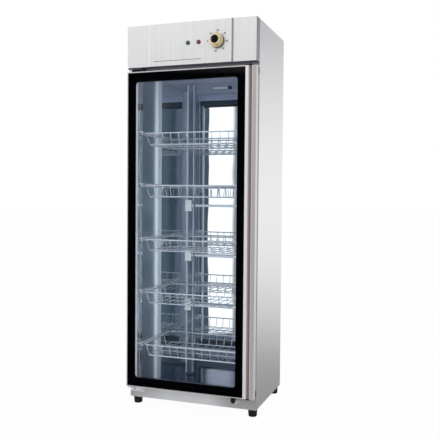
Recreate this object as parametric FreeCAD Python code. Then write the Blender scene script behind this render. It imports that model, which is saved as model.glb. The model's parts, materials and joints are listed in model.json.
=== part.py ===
import FreeCAD, Part

import math
import os

# Dish sterilizer cabinet: an upright insulated steel cabinet with a glazed, left-hung door,
# five wire dish baskets on side rails, three quartz heating tubes on the back wall and a
# control header with a timer knob and two indicator lamps.
#
# Lengths are in millimetres. The pieces are built in the cabinet's own working frame:
# X to the right seen from the front, Y to the back from the front face of the body,
# Z up from the underside of the body. write_node() moves them to the frame of the part:
# Z = 0 under the feet, X and Y centred on the whole cabinet.

# ---- cabinet body ----
BODY_WIDTH = 600.0
BODY_DEPTH = 418.0
BODY_HEIGHT = 1670.0
SHEET = 1.0                  # outer steel sheet
LINER_SHEET = 0.8            # mirror-finished inner sheet
SIDE_WALL = 30.0             # outer face to inner face of a side wall
REAR_WALL = 23.0             # outer face to inner face of the back wall
FLOOR_RISE = 15.0            # inner floor above the underside of the body
COMPARTMENT_HEIGHT = 170.0   # top of the body to the floor of the control compartment
CEILING_WALL = 15.0          # compartment floor to inner ceiling
REAR_FLANGE = 20.0           # inward flange of a side panel at the back

# ---- front frame ----
POST_DEPTH = 48.0
POST_PROUD = 2.0             # posts stand this far inside the side walls
POST_GROOVE_START = 17.0
POST_GROOVE_WIDTH = 12.0
POST_GROOVE_DEPTH = 4.0
SILL_HEIGHT = 70.0
LINTEL_HEIGHT = 50.0
BASE_FASCIA_HEIGHT = 56.5
FASCIA_SHEET = 1.2           # base fascia and control header
HOOK_POCKET_LENGTH = 12.0
HOOK_POCKET_DEPTH = 4.0

# ---- control header ----
HEADER_HEIGHT = 182.0
HEADER_PROUD = 43.0          # header front ahead of the body front
HEADER_EDGE_RADIUS = 2.5
RAISED_PANEL_WIDTH = 378.0
RAISED_PANEL_RISE = 3.0
RAISED_PANEL_BEVEL = 8.0
CONTROL_LINE_DROP = 90.0     # top of the body to the centre line of knob and lamps

# ---- timer ----
TIMER_X = 125.0
TIMER_BODY_SIZE = 52.0
TIMER_BODY_DEPTH = 34.0
TIMER_BUSH_RADIUS = 5.0
TIMER_SHAFT_RADIUS = 3.0
SHAFT_RUNNING_CLEARANCE = 0.05
KNOB_RADIUS = 31.0
KNOB_SKIRT_DEPTH = 14.0
KNOB_REACH = 35.0            # knob front ahead of the header's raised panel
KNOB_BARREL_RADIUS = 20.5
KNOB_RIM_WIDTH = 3.0
KNOB_DISH_DEPTH = 7.0
KNOB_INSERT_RADIUS = 16.7
KNOB_INSERT_DEPTH = 3.0
KNOB_GAP = 0.5               # knob back to header face
POINTER_WIDTH = 1.6
POINTER_DEPTH = 0.6

# ---- indicator lamps ----
GREEN_LAMP_X = -8.5
RED_LAMP_X = 40.5
LAMP_BEZEL_RADIUS = 9.5
LAMP_BEZEL_HEIGHT = 3.5
LAMP_LENS_RADIUS = 7.8
LAMP_LENS_HEIGHT = 5.5
LAMP_STEM_RADIUS = 6.0
LAMP_STEM_LENGTH = 28.0

# ---- feet ----
FOOT_HEIGHT = 35.0
FOOT_TOP_RADIUS = 20.5
FOOT_BOTTOM_RADIUS = 18.5
FOOT_EDGE_RADIUS = 4.0
FOOT_INSET_X = 24.0
FOOT_INSET_FRONT = 30.0
FOOT_INSET_REAR = 30.0
STUD_RADIUS = 4.0
STUD_IN_FOOT = 18.0
STUD_ABOVE_PAN = 7.0
STUD_NUT_RADIUS = 7.0

# ---- door ----
DOOR_BOTTOM = 57.5
DOOR_HEAD_GAP = 18.5         # top of the door to the underside of the header
DOOR_GAP = 9.0               # back of the closed door to the body front, filled by the seal
DOOR_CARRIER_DEPTH = 9.0     # seal carrier behind the metal frame
DOOR_FRAME_DEPTH = 26.0
DOOR_LIP = 4.0               # metal edge seen around the glass
GLASS_THICKNESS = 4.0
GLASS_RECESS = 0.5
GLASS_EDGE_CLEARANCE = 0.3
BORDER_THICKNESS = 0.5
BORDER_SIDE = 42.0
BORDER_TOP = 44.5
BORDER_BOTTOM = 42.5
BORDER_RIGHT = 35.0
WINDOW_CORNER_RADIUS = 14.0
FRAME_SETBACK = 1.0          # metal frame behind the glass, back from the border's edge
CARRIER_SETBACK = 2.0
CARRIER_WIDTH = 34.0
SEAL_WIDTH = 12.0
SEAL_CLEARANCE = 0.4
LEFT_SEAL_INSET = 14.0
RIGHT_SEAL_INSET = 3.0
END_SEAL_INSET = 5.0
BUFFER_HEIGHT = 26.0
BUFFER_WIDTH = 14.0
BUFFER_GAP = 0.6

# ---- handle profile, full height of the door's right edge ----
HANDLE_WIDTH = 49.0
HANDLE_FLANGE = 13.0
GROOVE_MOUTH = 16.0
GROOVE_DEPTH = 15.0
GROOVE_UNDERCUT = 9.0        # groove floor reaches this far behind the grip lip
GRIP_LIP_THICKNESS = 5.0
GROOVE_SLOPE_RUN = 11.0
HANDLE_CAP_TOP = 5.0
HANDLE_CAP_BOTTOM = 3.0
HANDLE_EDGE_RADIUS = 1.5

# ---- door hinges ----
PIN_INSET_X = 12.0           # pin axis in from the door's left edge
PIN_INSET_Y = 13.0           # pin axis back from the door's front face
PIN_RADIUS = 5.0
PIN_IN_DOOR = 15.0
PIN_END_CLEARANCE = 0.5
PIN_RUNNING_CLEARANCE = 0.06
PIN_SHOULDER_RADIUS = 7.0
SHOULDER_GAP = 0.3
BUSH_WALL = 2.0
BRACKET_LENGTH = 68.0
BRACKET_INSET = 2.5
TOP_PLATE_THICKNESS = 5.0
TOP_PLATE_DROP = 1.5         # top plate below the header
TOP_PLATE_REACH = 40.0
BOTTOM_PLATE_THICKNESS = 3.0
BOTTOM_PLATE_DROP = 3.8      # bottom plate below the door
BOTTOM_LEG_HEIGHT = 28.0
BRACKET_LEG_THICKNESS = 2.5
SCREW_HEAD_RADIUS = 4.2
SCREW_HEAD_HEIGHT = 2.0
SCREW_SHANK_RADIUS = 2.0
SCREW_SHANK_LENGTH = 9.0

# ---- door lock ----
LOCK_X = 200.5
LOCK_HEIGHT = 35.0
LOCK_KNOB_RADIUS = 9.7
LOCK_KNOB_DEPTH = 7.0
LOCK_LEVER_REACH = 14.0      # flat top of the lever knob above its axis
LOCK_GRIP_DEPTH = 4.0
LOCK_GRIP_WIDTH = 5.0
LOCK_BARREL_RADIUS = 8.0
LOCK_BARREL_LENGTH = 20.0
LOCK_SPINDLE_RADIUS = 4.0
TONGUE_THICKNESS = 3.0
TONGUE_WIDTH = 10.0
TONGUE_LENGTH = 31.0
TONGUE_SETBACK = 11.0        # tongue back ahead of the body front
TONGUE_SLOT_CLEARANCE = 1.0
LOCK_GAP = 0.4
STOP_PIN_RADIUS = 3.0
STOP_PIN_X = 212.5
STOP_PIN_HEIGHT = 26.5

# ---- inner uprights and rails ----
UPRIGHT_TO_BACK = 198.0      # front of an upright to the inner back wall
UPRIGHT_WIDTH = 40.0
UPRIGHT_DEPTH = 12.5
UPRIGHT_SHEET = 1.2
UPRIGHT_END_GAP = 10.0
SLOT_PITCH = 40.0
SLOT_LENGTH = 14.0
SLOT_WIDTH = 4.0
SLOT_FIRST = 46.0
GUIDE_RADIUS = 2.0           # upper wire of a basket bracket, beside the basket
GUIDE_RISE = 7.0             # guide wire above the basket's rim
GUIDE_UPRIGHT_GAP = 0.3
HOOK_Y = 9.0
REST_RADIUS = 1.8            # lower wire of a basket bracket, under the rim
REST_OFFSET = 3.0            # rest wire outside the rim
REST_ENDS_INSET = 18.0
BRACKET_BEND = 6.0

# ---- baskets ----
BASKET_SHARES = (0.151, 0.3157, 0.4796, 0.6476, 0.8082)   # rim heights, as shares of the chamber's
BASKET_FRONT = 20.0
BASKET_TO_BACK = 55.0        # rim centre line to the inner back wall
BASKET_DROP = 50.0           # rim centre line to floor ring centre line
BASKET_TAPER = 13.0          # floor ring in from the rim at front and back
BASKET_SIDE_TAPER = 18.0
RIM_RADIUS = 3.0
RIM_BEND = 30.0
RING_RADIUS = 2.2
RING_BEND = 20.0
WIRE_RADIUS = 1.6
WIRE_WELD = 0.6              # cross wires sink this far into the wires above them
WIRE_PITCH = 39.0
CROSS_WIRE_SHARES = (0.067, 0.39, 0.74)   # cross wires, as shares of the floor's depth
BASKET_SIDE_GAP = 0.4
BASKET_SEAT_GAP = 0.3

# ---- heaters ----
CHANNEL_X = 166.0
CHANNEL_WIDTH = 38.0
CHANNEL_DEPTH = 12.0
CHANNEL_GROOVE_INSET = 9.0   # middle of a lengthwise groove, in from the channel's side
CHANNEL_GROOVE_WIDTH = 4.0
CHANNEL_GROOVE_DEPTH = 2.5
HEATER_SHARES = (0.2435, 0.4136, 0.5837)   # tube heights, as shares of the chamber's
HOLDER_WIDTH = 34.0
HOLDER_DEPTH = 25.0
HOLDER_HEIGHT = 55.0
HOLDER_WAIST = 2.0
TUBE_RADIUS = 6.0
TUBE_IN_HOLDER = 12.0
COLLAR_RADIUS = 7.5          # ceramic collar round the tube, beside its holder
COLLAR_LENGTH = 9.0

# ---- thermostat bulb under the ceiling, on the back wall ----
BULB_LEFT_X = -49.0
BULB_RADIUS = 3.2
BULB_DROP = 28.0             # bulb below the ceiling
BULB_TO_BACK = 8.0
GROMMET_X = 36.0
GROMMET_RADIUS = 9.0
GROMMET_DEPTH = 12.0
BULB_IN_GROMMET = 2.0
CLIP_X = -30.0
CLIP_WIDTH = 6.0
CLIP_WALL = 1.5

# ---- control compartment and back ----
TERMINAL_LENGTH = 70.0
TERMINAL_DEPTH = 24.0
TERMINAL_HEIGHT = 20.0
CUTOUT_RADIUS = 9.0
CUTOUT_HEIGHT = 12.0
GLAND_X = 210.0
GLAND_RISE = 60.0            # gland above the compartment floor
GLAND_RADIUS = 11.0
GLAND_FLANGE_RADIUS = 15.0
GLAND_FLANGE = 3.0
BACK_SCREW_INSET = 10.0
BACK_SCREW_ROWS = 5

# ---- places that follow from the sizes above ----
HALF_WIDTH = BODY_WIDTH / 2
INNER_X = HALF_WIDTH - SIDE_WALL
INNER_BACK = BODY_DEPTH - REAR_WALL
DECK_HEIGHT = BODY_HEIGHT - COMPARTMENT_HEIGHT
CEILING_HEIGHT = DECK_HEIGHT - CEILING_WALL
CHAMBER_HEIGHT = CEILING_HEIGHT - FLOOR_RISE
LINTEL_BOTTOM = DECK_HEIGHT - LINTEL_HEIGHT
POST_X = INNER_X - POST_PROUD
HEADER_BOTTOM = BODY_HEIGHT - HEADER_HEIGHT
CONTROL_LINE_HEIGHT = BODY_HEIGHT - CONTROL_LINE_DROP
GLAND_HEIGHT = DECK_HEIGHT + GLAND_RISE
RAISED_FACE_Y = -(HEADER_PROUD + RAISED_PANEL_RISE)
FRONT_REACH = HEADER_PROUD + RAISED_PANEL_RISE + KNOB_REACH
REAR_REACH = BODY_DEPTH + GLAND_FLANGE
ORIGIN_SHIFT = FreeCAD.Vector(0, (FRONT_REACH - REAR_REACH) / 2, FOOT_HEIGHT)

DOOR_TOP = HEADER_BOTTOM - DOOR_HEAD_GAP
DOOR_BACK_Y = -DOOR_GAP
CARRIER_FRONT_Y = DOOR_BACK_Y - DOOR_CARRIER_DEPTH
DOOR_FRONT_Y = CARRIER_FRONT_Y - DOOR_FRAME_DEPTH
GLASS_FRONT_Y = DOOR_FRONT_Y + GLASS_RECESS
GLASS_BACK_Y = GLASS_FRONT_Y + GLASS_THICKNESS
FRAME_SEAT_Y = GLASS_BACK_Y + BORDER_THICKNESS
HANDLE_LEFT_X = HALF_WIDTH - HANDLE_WIDTH
WINDOW_LEFT = -HALF_WIDTH + BORDER_SIDE
WINDOW_RIGHT = HANDLE_LEFT_X - BORDER_RIGHT
WINDOW_BOTTOM = DOOR_BOTTOM + BORDER_BOTTOM
WINDOW_TOP = DOOR_TOP - BORDER_TOP
FRAME_LEFT_IN = WINDOW_LEFT - FRAME_SETBACK
FRAME_RIGHT_IN = WINDOW_RIGHT + FRAME_SETBACK
FRAME_BOTTOM_IN = WINDOW_BOTTOM - FRAME_SETBACK
FRAME_TOP_IN = WINDOW_TOP + FRAME_SETBACK
PIN_X = -HALF_WIDTH + PIN_INSET_X
PIN_Y = DOOR_FRONT_Y + PIN_INSET_Y

TONGUE_BACK_Y = -TONGUE_SETBACK
TONGUE_FRONT_Y = TONGUE_BACK_Y - TONGUE_THICKNESS

UPRIGHT_FRONT = INNER_BACK - UPRIGHT_TO_BACK
UPRIGHT_FACE_X = INNER_X - UPRIGHT_DEPTH
GUIDE_X = UPRIGHT_FACE_X - GUIDE_UPRIGHT_GAP - GUIDE_RADIUS
RIM_X = GUIDE_X - GUIDE_RADIUS - BASKET_SIDE_GAP - RIM_RADIUS
REST_X = RIM_X + REST_OFFSET
REST_DROP = math.sqrt((RIM_RADIUS + REST_RADIUS + BASKET_SEAT_GAP) ** 2 - REST_OFFSET ** 2)
BASKET_BACK = INNER_BACK - BASKET_TO_BACK
BASKET_LEVELS = [FLOOR_RISE + share * CHAMBER_HEIGHT for share in BASKET_SHARES]
HEATER_LEVELS = [FLOOR_RISE + share * CHAMBER_HEIGHT for share in HEATER_SHARES]


def vec(x, y, z):
    return FreeCAD.Vector(x, y, z)


def block(x0, x1, y0, y1, z0, z1):
    """Box between two corners, given in either order along each axis."""
    low = vec(min(x0, x1), min(y0, y1), min(z0, z1))
    return Part.makeBox(abs(x1 - x0), abs(y1 - y0), abs(z1 - z0), low)


def rod(start, end, radius):
    """Round bar between two points."""
    along = end - start
    return Part.makeCylinder(radius, along.Length, start, along)


def disc(x, y_front, y_back, z, radius):
    """Round piece on a horizontal axis that runs front to back."""
    return Part.makeCylinder(radius, y_back - y_front, vec(x, y_front, z), vec(0, 1, 0))


def post(x, y, z0, z1, radius):
    """Round piece on a vertical axis."""
    return Part.makeCylinder(radius, z1 - z0, vec(x, y, z0), vec(0, 0, 1))


def extrude_plan(points, z0, z1):
    """Solid with the given outline in plan (x, y), from z0 up to z1."""
    corners = [vec(x, y, z0) for x, y in points]
    face = Part.Face(Part.makePolygon(corners + corners[:1]))
    return face.extrude(vec(0, 0, z1 - z0))


def turned(points, x, z):
    """Solid of revolution about the front-to-back axis at (x, z); points are (radius, y)."""
    corners = [vec(x + radius, y, z) for radius, y in points]
    face = Part.Face(Part.makePolygon(corners + corners[:1]))
    return face.revolve(vec(x, 0, z), vec(0, 1, 0), 360)


def bent_path(points, bend):
    """Wire through the points with every inner corner rounded to the bend radius."""
    edges = []
    start = points[0]
    for before, corner, after in zip(points, points[1:], points[2:]):
        back = (before - corner).normalize()
        ahead = (after - corner).normalize()
        half_turn = back.getAngle(ahead) / 2
        run = bend / math.tan(half_turn)
        middle = corner + (back + ahead).normalize() * (bend / math.sin(half_turn) - bend)
        edges.append(Part.makeLine(start, corner + back * run))
        edges.append(Part.Arc(corner + back * run, middle, corner + ahead * run).toShape())
        start = corner + ahead * run
    edges.append(Part.makeLine(start, points[-1]))
    return Part.Wire(edges)


def bent_rod(points, bend, radius):
    """Round wire bent along a line of points."""
    section = Part.Wire(Part.makeCircle(radius, points[0], points[1] - points[0]))
    return bent_path(points, bend).makePipeShell([section], True, True)


def fused(shapes):
    """One solid from overlapping shapes."""
    return shapes[0].multiFuse(shapes[1:]).removeSplitter()


def mirrored_x(shape):
    """The same piece on the other side of the cabinet."""
    return shape.mirror(vec(0, 0, 0), vec(1, 0, 0))


def vertical_edges(shape, places):
    """Vertical edges of a shape that stand at the given (x, y) places."""
    found = []
    for edge in shape.Edges:
        first, last = edge.Vertexes[0].Point, edge.Vertexes[-1].Point
        upright = abs(first.x - last.x) < 1e-6 and abs(first.y - last.y) < 1e-6
        if upright and any(math.hypot(first.x - x, first.y - y) < 1e-3 for x, y in places):
            found.append(edge)
    return found


def edges_at_front(shape):
    """Edges that lie wholly in the foremost plane of a shape."""
    return [edge for edge in shape.Edges if edge.BoundBox.YMax < shape.BoundBox.YMin + 1e-6]


def write_node(name, *shapes):
    """Write one named node; several shapes make a group of separate solids."""
    solids = [solid for shape in shapes for solid in shape.Solids]
    for solid in solids:
        if not solid.isValid():
            raise ValueError(name + " holds a solid that is not valid")
    node = solids[0] if len(solids) == 1 else Part.makeCompound(solids)
    node.translated(ORIGIN_SHIFT).exportStep(os.path.join("parts", name + ".step"))


# ---------------------------------------------------------------- cabinet shell

def side_panel():
    """Left outer panel: one folded sheet with a front face and a short rear flange."""
    web = block(-HALF_WIDTH, -HALF_WIDTH + SHEET, 0, BODY_DEPTH - SHEET, 0, BODY_HEIGHT)
    front = block(-HALF_WIDTH, -POST_X, 0, SHEET, 0, BODY_HEIGHT)
    rear = block(-HALF_WIDTH, -HALF_WIDTH + REAR_FLANGE, BODY_DEPTH - 2 * SHEET, BODY_DEPTH - SHEET,
                 SHEET, BODY_HEIGHT - SHEET)
    return fused([web, front, rear])


def front_post():
    """Left post of the front frame, with the groove and the hook pockets in its inner face."""
    body = block(-HALF_WIDTH + SHEET, -POST_X, SHEET, POST_DEPTH, SHEET, BODY_HEIGHT - SHEET)
    groove = block(-POST_X - POST_GROOVE_DEPTH, -POST_X, POST_GROOVE_START,
                   POST_GROOVE_START + POST_GROOVE_WIDTH, SILL_HEIGHT, LINTEL_BOTTOM)
    pockets = []
    for level in BASKET_LEVELS:
        centre = level + GUIDE_RISE
        pockets.append(block(-POST_X - HOOK_POCKET_DEPTH, -POST_X,
                             HOOK_Y - GUIDE_RADIUS, HOOK_Y + GUIDE_RADIUS,
                             centre - HOOK_POCKET_LENGTH / 2, centre + HOOK_POCKET_LENGTH / 2))
    return body.cut([groove] + pockets)


def build_shell(studs, bracket_screws):
    panel = side_panel()
    write_node("side_panel_left", panel.cut(bracket_screws))
    write_node("side_panel_right", mirrored_x(panel))

    frame_post = front_post()
    write_node("front_posts", frame_post.cut(studs + bracket_screws), mirrored_x(frame_post).cut(studs))
    write_node("lintel", block(-POST_X, POST_X, 0, POST_DEPTH, LINTEL_BOTTOM, DECK_HEIGHT))

    cover = block(-HALF_WIDTH + SHEET, HALF_WIDTH - SHEET, SHEET, BODY_DEPTH - SHEET, 0, SHEET)
    write_node("base_pan", cover.cut(studs))
    write_node("top_panel", cover.translated(vec(0, 0, BODY_HEIGHT - SHEET)))

    back = block(-HALF_WIDTH + SHEET, HALF_WIDTH - SHEET, BODY_DEPTH - SHEET, BODY_DEPTH, 0, BODY_HEIGHT)
    gland = cable_gland()
    write_node("back_panel", back.cut([gland] + back_screws()))
    write_node("cable_gland", gland)


def cable_gland():
    """Closed membrane grommet in the back panel, where a supply cord would enter."""
    sheet_front = BODY_DEPTH - SHEET
    inside = disc(GLAND_X, sheet_front - GLAND_FLANGE, sheet_front, GLAND_HEIGHT, GLAND_FLANGE_RADIUS)
    neck = disc(GLAND_X, sheet_front, BODY_DEPTH, GLAND_HEIGHT, GLAND_RADIUS)
    outside = disc(GLAND_X, BODY_DEPTH, BODY_DEPTH + GLAND_FLANGE, GLAND_HEIGHT, GLAND_FLANGE_RADIUS)
    return fused([inside, neck, outside])


def back_screws():
    """Screws down both sides of the back panel, into the rear flanges of the side panels."""
    column_x = HALF_WIDTH - BACK_SCREW_INSET
    first = BACK_SCREW_INSET * 3
    step = (BODY_HEIGHT - 2 * first) / (BACK_SCREW_ROWS - 1)
    screws = []
    for z in (first + row * step for row in range(BACK_SCREW_ROWS)):
        for x in (-column_x, column_x):
            head = disc(x, BODY_DEPTH, BODY_DEPTH + SCREW_HEAD_HEIGHT, z, SCREW_HEAD_RADIUS)
            shank = disc(x, BODY_DEPTH - SHEET, BODY_DEPTH, z, SCREW_SHANK_RADIUS)
            screws.append(fused([head, shank]))
    return screws


def foot_places():
    x = HALF_WIDTH - FOOT_INSET_X
    return [(sx * x, y) for y in (FOOT_INSET_FRONT, BODY_DEPTH - FOOT_INSET_REAR) for sx in (-1, 1)]


def foot_stud(x, y):
    """Levelling stud with its nut, from inside the foot up through the base pan."""
    stud = post(x, y, -STUD_IN_FOOT, SHEET + STUD_ABOVE_PAN, STUD_RADIUS)
    nut = post(x, y, SHEET, SHEET + STUD_ABOVE_PAN - 1.0, STUD_NUT_RADIUS)
    return fused([stud, nut])


def foot_pad(x, y):
    """Tapered rubber foot with a rounded lower edge."""
    pad = Part.makeCone(FOOT_BOTTOM_RADIUS, FOOT_TOP_RADIUS, FOOT_HEIGHT, vec(x, y, -FOOT_HEIGHT))
    lowest = [edge for edge in pad.Edges if edge.BoundBox.ZMax < -FOOT_HEIGHT + 1e-6]
    return pad.makeFillet(FOOT_EDGE_RADIUS, lowest)


def build_feet(studs):
    write_node("feet", *[foot_pad(x, y).cut(stud) for stud, (x, y) in zip(studs, foot_places())])
    write_node("foot_studs", *studs)


# ---------------------------------------------------------------- inner liner

def build_liner():
    outer_x = INNER_X + LINER_SHEET
    outer_back = INNER_BACK + LINER_SHEET
    wall = block(-outer_x, -INNER_X, POST_DEPTH, outer_back, FLOOR_RISE, CEILING_HEIGHT)
    back = block(-INNER_X, INNER_X, INNER_BACK, outer_back, FLOOR_RISE, CEILING_HEIGHT)
    floor = block(-outer_x, outer_x, POST_DEPTH, outer_back, FLOOR_RISE - LINER_SHEET, FLOOR_RISE)
    write_node("liner_sides", wall, mirrored_x(wall))
    write_node("liner_back", back)
    write_node("liner_floor", floor)
    write_node("liner_ceiling", floor.translated(vec(0, 0, CEILING_HEIGHT - FLOOR_RISE + LINER_SHEET)))


def build_insulation(studs):
    """Mineral-wool boards between the liner and the outer panels."""
    skin_x = HALF_WIDTH - SHEET
    back_y = BODY_DEPTH - 2 * SHEET
    outer_x = INNER_X + LINER_SHEET
    outer_back = INNER_BACK + LINER_SHEET
    left = block(-skin_x, -outer_x, POST_DEPTH, back_y, SHEET, DECK_HEIGHT)
    rear = block(-outer_x, outer_x, outer_back, back_y, SHEET, DECK_HEIGHT)
    top = block(-outer_x, outer_x, POST_DEPTH, outer_back, CEILING_HEIGHT + LINER_SHEET, DECK_HEIGHT)
    floor = block(-outer_x, outer_x, POST_DEPTH, outer_back, SHEET, FLOOR_RISE - LINER_SHEET)
    boards = [board.cut(studs) for board in (left, mirrored_x(left), rear, top, floor)]
    write_node("insulation", *boards)


# ---------------------------------------------------------------- front sill, lock and bottom hinge

def screw_from_front(x, y_face, z):
    """Pan-head screw seated on a face that looks forward."""
    head = disc(x, y_face - SCREW_HEAD_HEIGHT, y_face, z, SCREW_HEAD_RADIUS)
    shank = disc(x, y_face, y_face + SCREW_SHANK_LENGTH, z, SCREW_SHANK_RADIUS)
    return fused([head, shank])


def bottom_bracket_span():
    left = -HALF_WIDTH + BRACKET_INSET
    return left, left + BRACKET_LENGTH


def bottom_bracket():
    """Folded bracket on the base fascia that carries the lower hinge pin."""
    left, right = bottom_bracket_span()
    top = DOOR_BOTTOM - BOTTOM_PLATE_DROP
    face = -FASCIA_SHEET
    leg = block(left, right, face - BRACKET_LEG_THICKNESS, face, top - BOTTOM_LEG_HEIGHT, top)
    arm = block(left, right - BRACKET_LENGTH * 0.3, DOOR_FRONT_Y + BRACKET_INSET, face,
                top - BOTTOM_PLATE_THICKNESS, top)
    return fused([leg, arm])


def bottom_bracket_screws():
    left, right = bottom_bracket_span()
    z = DOOR_BOTTOM - BOTTOM_PLATE_DROP - BOTTOM_LEG_HEIGHT * 0.62
    face = -FASCIA_SHEET - BRACKET_LEG_THICKNESS
    columns = (left + BRACKET_LENGTH * 0.3, right - BRACKET_LENGTH * 0.16)
    return [screw_from_front(x, face, z) for x in columns]


def lock_part(y0, y1, radius):
    """Round piece on the axis of the lock."""
    return disc(LOCK_X, y0, y1, LOCK_HEIGHT, radius)


def build_sill(screws):
    fascia = block(-HALF_WIDTH, HALF_WIDTH, -FASCIA_SHEET, 0, 0, BASE_FASCIA_HEIGHT)
    sill = block(-POST_X, POST_X, 0, POST_DEPTH, SHEET, SILL_HEIGHT)
    stop = disc(STOP_PIN_X, TONGUE_FRONT_Y, 0, STOP_PIN_HEIGHT, STOP_PIN_RADIUS)
    barrel_back = -FASCIA_SHEET + LOCK_BARREL_LENGTH
    barrel = lock_part(-FASCIA_SHEET, barrel_back, LOCK_BARREL_RADIUS)
    bore = lock_part(-FASCIA_SHEET, barrel_back, LOCK_SPINDLE_RADIUS + SHAFT_RUNNING_CLEARANCE)
    write_node("base_fascia", fascia.cut(screws + [barrel, stop]))
    write_node("sill", sill.cut(screws + [barrel]))
    write_node("hinge_bracket_bottom", bottom_bracket().cut(screws))
    write_node("screws", *(screws + back_screws()))
    write_node("lock_barrel", barrel.cut(bore))
    write_node("lock_stop_pin", stop)


def build_lock():
    """Turning part of the lock: spindle, steel tongue and black lever knob with a grip rib."""
    spindle = lock_part(TONGUE_BACK_Y, -FASCIA_SHEET + LOCK_BARREL_LENGTH, LOCK_SPINDLE_RADIUS)
    hub = lock_part(TONGUE_BACK_Y, -FASCIA_SHEET - LOCK_GAP, LOCK_BARREL_RADIUS)
    write_node("lock_spindle", fused([spindle, hub]))

    half = TONGUE_WIDTH / 2
    tip_x = LOCK_X + TONGUE_LENGTH - half
    plate = block(LOCK_X, tip_x, TONGUE_FRONT_Y, TONGUE_BACK_Y, LOCK_HEIGHT - half, LOCK_HEIGHT + half)
    tip = disc(tip_x, TONGUE_FRONT_Y, TONGUE_BACK_Y, LOCK_HEIGHT, half)
    eye = lock_part(TONGUE_FRONT_Y, TONGUE_BACK_Y, LOCK_BARREL_RADIUS)
    write_node("lock_tongue", fused([plate, tip, eye]))

    knob_front = TONGUE_FRONT_Y - LOCK_KNOB_DEPTH
    knob = lock_part(knob_front, TONGUE_FRONT_Y, LOCK_KNOB_RADIUS)
    lever = block(LOCK_X - LOCK_KNOB_RADIUS, LOCK_X + LOCK_KNOB_RADIUS, knob_front, TONGUE_FRONT_Y,
                  LOCK_HEIGHT, LOCK_HEIGHT + LOCK_LEVER_REACH)
    grip = block(LOCK_X - LOCK_GRIP_WIDTH / 2, LOCK_X + LOCK_GRIP_WIDTH / 2,
                 knob_front - LOCK_GRIP_DEPTH, knob_front,
                 LOCK_HEIGHT - LOCK_KNOB_RADIUS + 2.0, LOCK_HEIGHT + LOCK_LEVER_REACH - 1.0)
    write_node("lock_knob", fused([knob, lever, grip]))


# ---------------------------------------------------------------- hinge pins and top bracket

def build_hinges():
    left = -HALF_WIDTH + BRACKET_INSET
    right = left + BRACKET_LENGTH
    plate_top = HEADER_BOTTOM - TOP_PLATE_DROP
    plate_bottom = plate_top - TOP_PLATE_THICKNESS
    plate = block(left, right, -TOP_PLATE_REACH, 0, plate_bottom, plate_top)
    leg = block(left, right, -BRACKET_LEG_THICKNESS, 0, DOOR_TOP + 1.5, plate_bottom)
    write_node("hinge_bracket_top", fused([plate, leg]))

    reach = PIN_IN_DOOR - PIN_END_CLEARANCE
    upper = hinge_pin(plate_bottom, DOOR_TOP + SHOULDER_GAP, DOOR_TOP - reach)
    lower = hinge_pin(DOOR_BOTTOM - BOTTOM_PLATE_DROP, DOOR_BOTTOM - SHOULDER_GAP, DOOR_BOTTOM + reach)
    write_node("hinge_pins", upper, lower)


def hinge_pin(base, shoulder_end, tip):
    """Pin with a shoulder, from its bracket plate into the door."""
    shoulder = post(PIN_X, PIN_Y, min(base, shoulder_end), max(base, shoulder_end), PIN_SHOULDER_RADIUS)
    pin = post(PIN_X, PIN_Y, min(base, tip), max(base, tip), PIN_RADIUS)
    return fused([shoulder, pin])


# ---------------------------------------------------------------- door

def handle_outline():
    """Plan of the handle extrusion: inner leg, flange, finger groove, grip lip and grip."""
    left = HANDLE_LEFT_X
    groove_left = left + HANDLE_FLANGE
    groove_right = groove_left + GROOVE_MOUTH
    floor_left = groove_left + GROOVE_SLOPE_RUN
    floor_y = DOOR_FRONT_Y + GROOVE_DEPTH
    lip_back = DOOR_FRONT_Y + GRIP_LIP_THICKNESS
    undercut = groove_right + GROOVE_UNDERCUT
    return [(FRAME_RIGHT_IN, FRAME_SEAT_Y), (left, FRAME_SEAT_Y), (left, DOOR_FRONT_Y),
            (groove_left, DOOR_FRONT_Y), (floor_left, floor_y), (undercut, floor_y),
            (undercut, lip_back + 3.0), (undercut - 3.0, lip_back), (groove_right, lip_back),
            (groove_right, DOOR_FRONT_Y), (HALF_WIDTH, DOOR_FRONT_Y),
            (HALF_WIDTH, CARRIER_FRONT_Y), (FRAME_RIGHT_IN, CARRIER_FRONT_Y)]


def handle_cap(z0, z1):
    """Plastic end cap over the flange and the finger groove."""
    left = HANDLE_LEFT_X
    right = left + HANDLE_FLANGE + GROOVE_MOUTH + 2.0
    cap = block(left, right, DOOR_FRONT_Y, DOOR_FRONT_Y + GROOVE_DEPTH + 4.0, z0, z1)
    corners = [(left, DOOR_FRONT_Y), (right, DOOR_FRONT_Y)]
    return cap.makeFillet(3.0, vertical_edges(cap, corners))


def rounded_window(y0, y1):
    """Block of the window's shape, with round corners."""
    window = block(WINDOW_LEFT, WINDOW_RIGHT, y0, y1, WINDOW_BOTTOM, WINDOW_TOP)
    along_y = [edge for edge in window.Edges if abs(edge.Length - (y1 - y0)) < 1e-6]
    return window.makeFillet(WINDOW_CORNER_RADIUS, along_y)


def tongue_slot():
    """Notch in the underside of the seal carrier that the lock tongue turns up into."""
    reach = TONGUE_LENGTH + TONGUE_SLOT_CLEARANCE
    swing = math.sqrt(reach ** 2 - (DOOR_BOTTOM - LOCK_HEIGHT) ** 2)
    return block(LOCK_X - TONGUE_WIDTH / 2 - TONGUE_SLOT_CLEARANCE, LOCK_X + swing,
                 TONGUE_FRONT_Y - TONGUE_SLOT_CLEARANCE, DOOR_BACK_Y, DOOR_BOTTOM, LOCK_HEIGHT + reach)


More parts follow.
